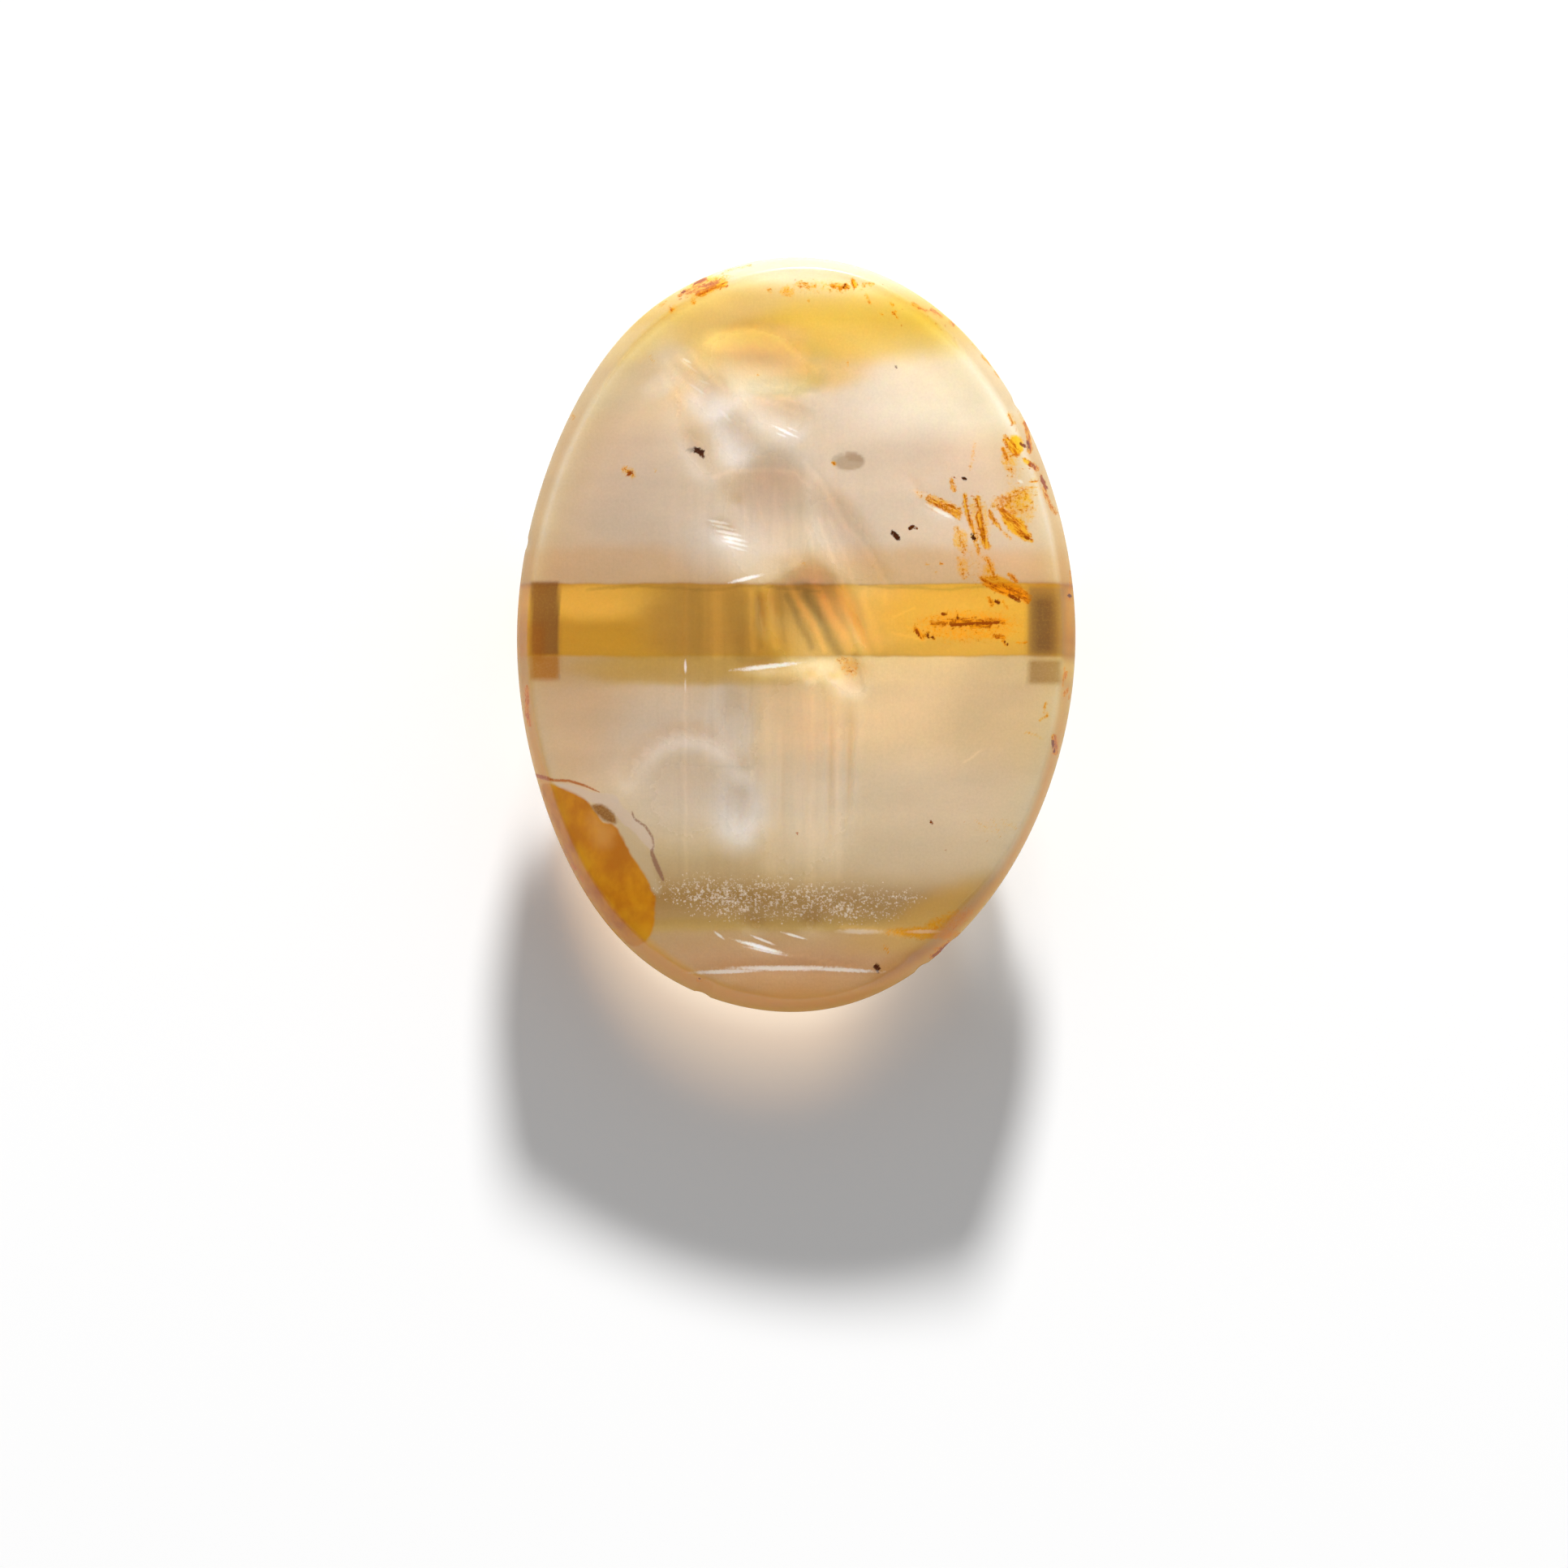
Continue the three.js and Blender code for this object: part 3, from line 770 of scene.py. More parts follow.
# Rust in old scratches and wheel marks: ends, half width, strength
RUST_STROKES = (
    (838, 366, 846, 358, 4, 0.8), (855, 353, 868, 345, 6, 1.0), (862, 362, 890, 350, 9, 1.0),
    (846, 362, 862, 360, 6, 0.7), (886, 356, 893, 350, 4, 0.9), (813, 378, 821, 372, 3, 0.6),
    (888, 337, 925, 328, 3, 0.45), (829, 383, 830, 384, 4.5, 0.8), (854, 374, 855, 376, 5, 0.7),
    (947, 360, 948, 361, 4, 0.6), (968, 362, 970, 363, 6.5, 0.75), (984, 352, 1002, 357, 6, 0.6),
    (1026, 355, 1044, 356, 6, 0.8), (1034, 359, 1041, 354, 3, 1.1), (1050, 347, 1053, 354, 4.5, 0.9),
    (1062, 353, 1075, 353, 4, 0.6), (1066, 365, 1071, 376, 4, 0.5), (1098, 378, 1099, 379, 3, 0.8),
    (1100, 388, 1101, 389, 3.5, 0.8), (1086, 389, 1087, 390, 3, 0.5), (1104, 394, 1105, 395, 2.5, 0.6),
    (998, 373, 999, 374, 3.5, 0.5), (1045, 451, 1046, 452, 3, 0.6), (873, 335, 874, 335, 3, 0.5),
    (1124, 377, 1142, 384, 4, 0.7), (1147, 381, 1160, 391, 4, 0.8), (1170, 396, 1177, 403, 3.5, 0.6),
    (1198, 424, 1203, 428, 3, 0.5), (1210, 439, 1222, 451, 4, 0.75), (1225, 460, 1231, 467, 3, 0.6),
    (1241, 512, 1248, 524, 4, 0.8), (1258, 512, 1262, 530, 4, 0.4), (1263, 522, 1268, 556, 4.5, 1.0),
    (1240, 545, 1250, 560, 9, 0.75), (1234, 556, 1239, 566, 5, 0.8), (1238, 566, 1246, 582, 7, 0.5),
    (1262, 568, 1276, 579, 5, 0.9), (1268, 597, 1277, 597, 2.5, 0.7), (1267, 604, 1276, 604, 2.5, 0.7),
    (1282, 590, 1289, 606, 3.5, 0.9), (1286, 606, 1299, 630, 4.5, 0.8), (1171, 593, 1174, 605, 4.5, 0.7),
    (1199, 548, 1195, 580, 4, 0.4), (1130, 611, 1150, 620, 6, 0.35), (1146, 617, 1180, 632, 9, 0.75),
    (1158, 622, 1180, 638, 5, 0.8), (1187, 612, 1194, 642, 4.5, 0.8), (1191, 630, 1200, 668, 5, 0.8),
    (1203, 614, 1208, 640, 5, 0.8), (1206, 638, 1214, 674, 7, 0.95), (1178, 652, 1188, 680, 7, 0.5),
    (1200, 670, 1205, 684, 4, 0.7), (1217, 631, 1220, 640, 3.5, 0.8), (1219, 638, 1229, 650, 4.5, 0.8),
    (1228, 649, 1245, 666, 3, 0.6), (1226, 622, 1262, 608, 12, 0.55), (1240, 632, 1266, 628, 8, 0.55),
    (1233, 630, 1266, 662, 7, 1.1), (1258, 662, 1270, 667, 4.5, 0.9), (1180, 690, 1187, 712, 6, 0.5),
    (1214, 690, 1222, 712, 4.5, 0.75), (1212, 716, 1264, 738, 8, 0.9), (1222, 724, 1246, 734, 5, 1.1),
    (1244, 709, 1251, 718, 4, 0.85), (1258, 728, 1265, 742, 4, 0.8), (1217, 738, 1221, 747, 4, 0.8),
    (1227, 743, 1229, 743, 4.5, 0.9), (1235, 742, 1240, 752, 3, 0.6), (1207, 712, 1208, 713, 3, 0.6),
    (1141, 697, 1142, 698, 2.6, 0.7), (1159, 695, 1160, 696, 2.6, 0.8), (1154, 708, 1155, 709, 2, 0.6),
    (1148, 768, 1236, 767, 7, 0.75), (1172, 770, 1216, 771, 5, 1.2), (1215, 764, 1232, 768, 4, 0.8),
    (1160, 757, 1164, 758, 3, 0.9), (1179, 760, 1181, 764, 3, 1.0), (1127, 774, 1134, 786, 6, 0.7),
    (1140, 782, 1151, 788, 3, 0.8), (1222, 783, 1236, 786, 4, 0.8), (1234, 790, 1240, 796, 3, 0.8),
    (1252, 792, 1264, 792, 2, 0.7), (1150, 790, 1170, 796, 3, 0.3), (1198, 776, 1230, 782, 5, 0.4),
    (1317, 704, 1318, 740, 2.5, 0.7), (1309, 822, 1311, 858, 2.5, 0.7), (1315, 828, 1316, 862, 2, 0.7),
    (1286, 866, 1288, 884, 3, 0.6), (1296, 909, 1299, 927, 4.5, 1.1), (1280, 889, 1290, 884, 2.5, 0.6),
    (1262, 902, 1282, 910, 2.5, 0.5), (1236, 1014, 1250, 1020, 3, 0.45), (1200, 1010, 1215, 1020, 3, 0.4),
    (1224, 1012, 1230, 1030, 3, 0.35), (1148, 1180, 1182, 1152, 3.5, 0.9), (1150, 1172, 1170, 1158, 2, 0.8),
    (1118, 1148, 1120, 1149, 3, 0.7), (1093, 1148, 1094, 1149, 3.5, 0.6), (1146, 1146, 1158, 1140, 4, 0.6),
    (1091, 1164, 1095, 1171, 2.5, 0.7), (648, 846, 653, 894, 4, 0.85),
    (705, 1064, 709, 1070, 3, 0.8), (716, 1080, 719, 1085, 2.6, 0.7), (1034, 812, 1052, 830, 9, 0.35),
    (703, 505, 706, 515, 3, 0.5), (802, 443, 806, 448, 3, 0.5), (932, 461, 933, 464, 2, 0.7),
    (772, 581, 780, 588, 7, 0.6), (808, 580, 809, 581, 2.5, 0.6), (1027, 572, 1029, 574, 3.5, 0.7),
    (1196, 662, 1199, 664, 3, 1.0), (858, 1208, 868, 1205, 2.5, 0.5), (990, 695, 991, 697, 2, 0.6),
)
# Dark rust and small pits: ends, half width, strength, and the share of that width that is dark
DARK_WIDTH_SHARE = 0.68
DARK_STROKES = (
    (858, 556, 865, 560, 4.5, 1.0), (862, 559, 866, 563, 3.5, 0.9), (1099, 658, 1103, 661, 3.6, 1.0),
    (1102, 662, 1106, 665, 3.4, 1.0), (1120, 653, 1124, 650, 2.6, 0.9), (1128, 652, 1129, 653, 2, 0.8),
    (1185, 591, 1189, 592, 2.2, 1.0), (1256, 549, 1262, 552, 2.6, 0.8),
    (1265, 545, 1267, 555, 2.4, 0.8), (1268, 574, 1274, 577, 3, 0.6), (1282, 589, 1288, 602, 3, 0.7),
    (1079, 1189, 1082, 1194, 4.4, 1.1), (1197, 660, 1199, 665, 2.8, 1.0), (1262, 663, 1268, 666, 2.4, 0.7),
    (1243, 735, 1254, 741, 3, 0.7), (1226, 742, 1229, 744, 2.8, 0.8), (1170, 771, 1230, 768, 2.4, 0.55),
    (1179, 762, 1180, 763, 2.2, 0.8), (1159, 757, 1163, 758, 2, 0.7), (1128, 778, 1131, 784, 2.4, 0.6),
    (1141, 782, 1144, 786, 2, 0.8), (1148, 786, 1150, 788, 2, 0.8), (1237, 792, 1240, 795, 2, 0.8),
    (1296, 913, 1298, 926, 2.4, 0.8), (1150, 1178, 1170, 1162, 2, 0.7), (1146, 1012, 1147, 1014, 2.4, 0.8),
    (1103, 454, 1104, 455, 2, 0.9), (1038, 358, 1041, 354, 1.8, 0.8), (839, 364, 844, 359, 2, 0.7),
    (856, 350, 866, 345, 2, 0.6), (1317, 734, 1318, 735, 3, 0.9),
    (1164, 1048, 1165, 1048, 1.8, 0.6), (982, 1026, 983, 1027, 1.8, 0.6), (775, 586, 779, 584, 3, 0.7),
    (862, 1205, 863, 1206, 1.8, 0.8), (1175, 590, 1176, 591, 1.6, 0.5),
)
# Small spots of rust scattered about the marks
RUST_BLOTS = (
    (840, 368, 892, 352, 5, 26, 3.5, 0.9), (985, 352, 1110, 362, 6, 34, 3.0, 0.6),
    (1060, 380, 1110, 396, 8, 12, 2.4, 0.6), (1130, 380, 1225, 460, 3, 22, 2.6, 0.7),
    (1240, 520, 1290, 600, 9, 26, 3.0, 0.7), (1150, 620, 1180, 634, 5, 16, 2.8, 0.8),
    (1190, 615, 1212, 670, 5, 26, 2.8, 0.8), (1236, 612, 1264, 660, 7, 26, 2.8, 0.7),
    (1180, 660, 1215, 720, 12, 26, 2.6, 0.6), (1215, 712, 1262, 742, 6, 30, 3.0, 0.9),
    (1150, 768, 1240, 770, 5, 26, 2.8, 0.8), (1130, 780, 1240, 792, 6, 20, 2.6, 0.7),
    (1270, 870, 1295, 925, 6, 14, 2.4, 0.5), (1195, 1012, 1255, 1028, 7, 26, 2.4, 0.5),
    (1120, 1150, 1200, 1130, 6, 22, 3.0, 0.7), (1110, 650, 1160, 720, 14, 10, 1.8, 0.5),
    (1034, 812, 1052, 830, 4, 14, 2.4, 0.6), (760, 470, 720, 620, 40, 8, 1.6, 0.4),
    (1318, 700, 1316, 760, 3, 12, 2.4, 0.6), (646, 700, 652, 900, 2, 14, 2.2, 0.5),
    (690, 1040, 770, 1150, 5, 12, 2.2, 0.5), (980, 600, 1000, 720, 20, 6, 1.6, 0.5),
)
# Yellow stain round the rust: soft, without spots
YELLOW_PATCHES = (
    (1256, 632, 18, 26, -30, 0.9, 0.4), (1200, 700, 26, 34, 0, 0.9, 0.22), (1248, 590, 12, 34, 0, 0.9, 0.25),
    (868, 354, 30, 12, 20, 0.9, 0.7), (1020, 356, 50, 9, 0, 0.9, 0.3), (1250, 551, 10, 12, 0, 0.5, 0.9),
    (1241, 568, 9, 16, 20, 0.8, 0.5), (1252, 620, 20, 17, 20, 0.7, 0.6), (1250, 648, 22, 9, -42, 0.5, 0.9),
    (1206, 645, 13, 36, 8, 0.8, 0.45), (1182, 666, 9, 16, 15, 0.7, 0.5), (1160, 625, 22, 9, -20, 0.8, 0.5),
    (1184, 700, 8, 12, 0, 0.8, 0.5), (1218, 704, 7, 12, 15, 0.8, 0.6), (1236, 724, 30, 10, -25, 0.7, 0.9),
    (1190, 772, 66, 20, 0, 0.9, 0.45), (1165, 1137, 36, 12, 26, 0.9, 0.6), (1140, 1149, 46, 7, -4, 0.8, 0.75),
    (776, 584, 9, 6, 0, 0.8, 0.5), (1046, 822, 12, 12, 0, 0.8, 0.35), (1135, 612, 16, 6, -28, 0.9, 0.3),
    (829, 383, 7, 6, 0, 0.9, 0.4), (970, 362, 10, 8, 0, 0.9, 0.5), (1225, 1018, 34, 12, 0, 0.9, 0.16),
    (1275, 600, 12, 26, -20, 0.9, 0.25),
)
# Crowds of white grains in the smoky layer: across, down, the two reaches and strength
GRAIN_PATCHES = (
    (925, 1106, 80, 24, 0.75), (1040, 1112, 70, 22, 0.7), (860, 1095, 50, 18, 0.45),
    (905, 1119, 30, 9, 0.5), (1040, 1120, 12, 12, 0.6), (1118, 1104, 18, 9, 0.5),
    (903, 1093, 10, 5, 0.5), (940, 1093, 8, 5, 0.5),
)
# Ochre earth in the lower left of the stone, and the pale seam over it
OCHRE_EDGE = (
    (668, 966), (690, 968), (712, 976), (728, 990), (741, 1010), (757, 1016), (767, 1031),
    (780, 1055), (799, 1085), (808, 1112), (804, 1146), (786, 1166), (764, 1156), (744, 1140),
    (726, 1118), (709, 1096), (695, 1071), (683, 1042), (674, 1010), (670, 986),
)
PEACH_EDGE = (
    (728, 1000), (745, 1010), (758, 1020), (757, 1040), (742, 1046), (730, 1036), (726, 1018),
)
BEIGE_EDGE = (
    (760, 1012), (772, 1012), (786, 1026), (798, 1046), (806, 1066), (814, 1092), (806, 1100),
    (794, 1080), (780, 1060), (766, 1040),
)
SEAM_EDGE = (
    (686, 966), (712, 968), (735, 976), (758, 982), (768, 992), (780, 1004), (796, 1020),
    (806, 1036), (804, 1050), (797, 1042), (782, 1026), (766, 1012), (752, 998), (728, 988),
    (706, 976),
)
LENS_EDGE = ((730, 993), (743, 993), (756, 1002), (761, 1014), (748, 1012), (736, 1004))
# Cracks beside it: a chain of places, then a half width and a strength
RUSTY_CRACKS = (
    (((657, 955), (676, 961), (702, 962), (722, 968), (740, 976)), 1.5, 0.8),
    (((655, 954), (666, 957), (682, 961)), 2.2, 1.0),
)
DARK_CRACKS = (
    (((777, 995), (783, 1009), (796, 1018), (804, 1030), (806, 1042), (803, 1054)), 1.4, 0.7),
    (((803, 1048), (809, 1064), (818, 1084)), 2.6, 0.8),
)

# Fields of the front, which fade out under the girdle, and fields of the whole stone
rust, rust_turn = strokes(RUST_STROKES)
dark_lines = [
    (((x0, y0), (x1, y1)), half * DARK_WIDTH_SHARE, strength)
    for x0, y0, x1, y1, half, strength in DARK_STROKES
]
dark, dark_power = thin_lines(dark_lines, taper=0.0)
rusty_crack, rusty_crack_power = thin_lines(RUSTY_CRACKS, taper=0.6)
dark_crack, dark_crack_power = thin_lines(DARK_CRACKS, taper=0.5)
front_fields = {
    "rust": rust,
    "blots": blots(RUST_BLOTS, seed=5),
    "dark_power": dark_power,
    "yellow": np.max([strength * soft_oval(*oval) for *oval, strength in YELLOW_PATCHES], axis=0),
    "beige": closed_shape(BEIGE_EDGE, blur=8),
    "seam": closed_shape(SEAM_EDGE, blur=4),
    "lens": closed_shape(LENS_EDGE, blur=3),
    "grain": sum(strength * soft_oval(*oval, 0, 1.0) for *oval, strength in GRAIN_PATCHES),
    "worn": soft_oval(950, 800, 130, 330, 0, 0.6),
    # painted light and shade along the engraving's folds, with a few of the stone's own streaks
    "shade": shading(FOLD_LIGHT_AND_SHADE),
}
for name, values in front_fields.items():
    add_field(name, values * on_front)

turn_of_place = np.arctan2(face_y, face_x)
rim_share = np.hypot(face_x / (STONE_WIDTH / 2), face_y / (STONE_LENGTH / 2))
sunward = np.clip(np.sin(turn_of_place + 0.1) + 0.15, 0, 1)
whole_fields = {
    "rust_turn": rust_turn,
    "dark": dark,
    "rusty_crack": rusty_crack,
    "rusty_crack_power": rusty_crack_power,
    "dark_crack": dark_crack,
    "dark_crack_power": dark_crack_power,
    "ochre": closed_shape(OCHRE_EDGE, blur=9),
    "peach": closed_shape(PEACH_EDGE, blur=34),
    "cut": depth,
    # painted shade on the rim and the bevel that face the lamp
    "sunward_rim": sunward * rise(rim_share, 0.82, 0.99),
    "sunward_bevel": sunward * rise(rim_share, 0.94, 0.96),
    # painted light on the lower rim, which faces away from the lamp
    "low_rim_light": rise(-face_y, 0, 3) * rise(rim_share, 0.952, 0.972),
    "side_rim": (1 - np.abs(np.sin(turn_of_place))) * rise(rim_share, 0.942, 0.962),
}
for name, values in whole_fields.items():
    add_field(name, values)

# The milky layers' colours, with some painted light among them
milky = laid_over((strength * soft_oval(*oval), tone) for *oval, tone, strength in MILKY_PATCHES)
milky[:, 3] *= 0.3 + 0.7 * on_front
add_colors("milky", milky)
# The clear layer's tints, with painted shade where the engraving crosses it
clear = laid_over((strength * soft_oval(*oval), tone) for *oval, tone, strength in CLEAR_PATCHES)
add_colors("clear", clear)
# Painted shade at the ends of the clear layer
ends = laid_over((strength * soft_box(*box), tone) for *box, tone, strength in CLEAR_END_SHADES)
ends[:, 3] *= on_front
add_colors("ends", ends)


class Nodes:
    """Short ways to add and join the nodes of a material or a world."""

    def __init__(self, owner):
        owner.use_nodes = True
        self.tree = owner.node_tree
        self.tree.nodes.clear()

    def add(self, kind, inputs, **settings):
        """A node with some settings, and with some inputs set or linked."""
        node = self.tree.nodes.new(kind)
        for name, value in settings.items():
            setattr(node, name, value)
        for name, value in inputs.items():
            if isinstance(value, bpy.types.NodeSocket):
                self.tree.links.new(value, node.inputs[name])
            else:
                node.inputs[name].default_value = value
        return node

    def math(self, operation, a, b=0.0):
        return self.add("ShaderNodeMath", {0: a, 1: b}, operation=operation).outputs[0]

    def plus(self, first, *others):
        for other in others:
            first = self.math("ADD", first, other)
        return first

    def times(self, first, *others):
        for other in others:
            first = self.math("MULTIPLY", first, other)
        return first

    def step(self, value, low, high, floor=0.0, top=1.0):
        """Floor where the value is under low, top where it is over high, and smooth between."""
        return self.add("ShaderNodeMapRange", {
            "Value": value, "From Min": low, "From Max": high, "To Min": floor, "To Max": top,
        }, interpolation_type="SMOOTHSTEP").outputs["Result"]

    def mix(self, share, a, b, blend="MIX"):
        inputs = {0: share, 6: a, 7: b}
        return self.add("ShaderNodeMix", inputs, data_type="RGBA", blend_type=blend).outputs[2]

    def ramp(self, place, rows):
        """The colours of some places from 0 to 1, and blends between them."""
        node = self.add("ShaderNodeValToRGB", {0: place})
        stops = node.color_ramp.elements
        for index, (position, color) in enumerate(rows):
            stop = stops[index] if index < 2 else stops.new(position)
            stop.position = position
            stop.color = color
        return node.outputs[0]

    def vector(self, x, y, z):
        return self.add("ShaderNodeCombineXYZ", {0: x, 1: y, 2: z}).outputs[0]

    def noise(self, place, scale, detail=2.0, roughness=0.5):
        """Noise of 0 to 1, with this many lumps to the unit."""
        return self.add("ShaderNodeTexNoise", {
            "Vector": place, "Scale": scale, "Detail": detail, "Roughness": roughness,
        }).outputs["Fac"]

    def swing(self, noise, reach):
        """A noise's departure from its middle, times a reach."""
        return self.times(self.math("SUBTRACT", noise, 0.5), reach)

    def field(self, name):
        return self.add("ShaderNodeAttribute", {}, attribute_name=name).outputs["Fac"]

    def colors(self, name):
        node = self.add("ShaderNodeAttribute", {}, attribute_name=name)
        return node.outputs["Color"], node.outputs["Alpha"]


# The agate's layers from the foot of the stone to its head: where each starts on the drawing, and
# its colour. The colours also hold painted light: the layers are lighter towards the head, which
# faces the lamp, and duller towards the foot
BANDS = (
    (1247, (208, 148, 86)),
    (1215, (202, 150, 100)),
    (1180, (198, 154, 112)),
    (1150, (196, 158, 112)),
    (1143, (194, 156, 92)),
    (1135, (184, 146, 84)),
    (1126, (180, 142, 90)),
    (1104, (168, 128, 74)),
    (1082, (186, 150, 98)),
    (1050, (200, 170, 124)),
    (1000, (216, 187, 148)),
    (900, (217, 186, 147)),
    (850, (210, 176, 132)),
    (838, (194, 156, 90)),
    (814, (190, 148, 70)),
    (808, (196, 144, 50)),
    (790, (196, 140, 42)),
    (745, (220, 164, 60)),
    (725, (208, 152, 52)),
    (721, (172, 114, 36)),
    (716, (206, 164, 106)),
    (700, (218, 178, 128)),
    (640, (224, 197, 166)),
    (560, (228, 203, 173)),
    (500, (232, 207, 170)),
    (460, (235, 206, 146)),
    (425, (228, 200, 116)),
    (395, (226, 194, 84)),
    (370, (233, 208, 134)),
    (350, (238, 226, 198)),
    (335, (236, 230, 218)),
)
# The clear layer's lower and upper edges on the drawing: where the blend over each starts and ends,
# going up
CLEAR_LOWER_EDGE = (811, 806)
CLEAR_UPPER_EDGE = (723, 719)
# What the light that comes back from inside the stone adds to its colours
DEPTH_GAIN = (0.99, 1.06, 1.1, 1.0)
# White grains in the smoky layer: grains to the millimetre, reach of a grain in its cell, and odds
GRAIN_SIZES = ((15.0, 0.42, 0.3), (26.0, 0.5, 0.5))
# How much quartz bends light, and how many millimetres red, green and blue light wander inside it
QUARTZ_IOR = 1.54
WANDER = (2.6, 2.0, 1.3)
# Colours of the material
WORN_CUT = srgb(236, 224, 210)
# Painted light on the lower rim, which faces away from the lamp
LOW_RIM_LIGHT = srgb(222, 165, 78)
OCHRE_CLOUDS = (srgb(184, 112, 0), srgb(208, 144, 10))
PEACH = srgb(208, 150, 70)
BEIGE = srgb(198, 176, 140)
SEAM = srgb(208, 188, 172)
LENS_SPECKLES = (srgb(138, 86, 22), srgb(160, 110, 46))
CRACKS = {"rusty_crack": srgb(176, 92, 6), "dark_crack": srgb(146, 102, 80)}
WHITE_FLECK = srgb(226, 210, 190)
WHITE_GRAIN = srgb(238, 226, 208)
RUST_ORANGE = srgb(228, 142, 0)
RUST_BROWN = srgb(176, 84, 0)
RUST_SPECK = srgb(180, 96, 0)
RUST_SPOT = srgb(202, 120, 0)
DARK_RUST = (srgb(170, 80, 0), srgb(82, 34, 6))
# White of the painted highlights in the grooves
GLINT_WHITE = (0.95, 0.93, 0.9, 1.0)
# Shares of the red, green and blue light that thin rust and the stone's side rims let through, and
# the painted shade on the rim and the bevel that face the lamp
RUST_WASH = (1.12, 0.8, 0.07, 1.0)
SIDE_RIM = (0.93, 0.78, 0.42, 1.0)
# Painted shade on the rim and the bevel that face the lamp
SUNWARD_RIM_SHADE = (0.62, 0.62, 0.62, 1.0)
SUNWARD_BEVEL_SHADE = (0.8, 0.7, 0.56, 1.0)
# The thin foot lets the lamp's light through where its rays meet the girdle's level outside a bowed
# line: millimetres above the middle, where the line is lowest to the right, and how bowed it is
FOOT_EDGE = (-6.05, -5.35)
BOW_MIDDLE = 1.4
BOW = 0.054
# So do the edges of the upper half: from and to shares of the girdle's reach, and how much, and
# where the upper half begins, in millimetres above the middle
THIN_EDGES = ((0.84, 0.98, 0.9), (0.66, 0.8, 0.2))
UPPER_HALF = (0.9, 3.2)
# The sides let less through towards the right: between these places they lose this share
RIGHT_FADE = (0.2, 2.8)
RIGHT_LOSS = 0.7
# How much of the lamp's light shines out at each level of the sides
LIGHT_THROUGH = (
    (0.0, (1.0, 0.88, 0.68)),
    (0.33, (0.9, 0.7, 0.48)),
    (0.5, (0.58, 0.4, 0.24)),
    (0.7, (0.34, 0.23, 0.13)),
    (0.9, (0.14, 0.08, 0.04)),
    (1.08, (0.0, 0.0, 0.0)),
)
# Towards the lamp, and how far along and across its light moves for each unit that it falls
LIGHT = (0.0755, 0.9366, 0.342)
FALL_ALONG = LIGHT[1] / LIGHT[2]
FALL_ACROSS = LIGHT[0] / LIGHT[2]


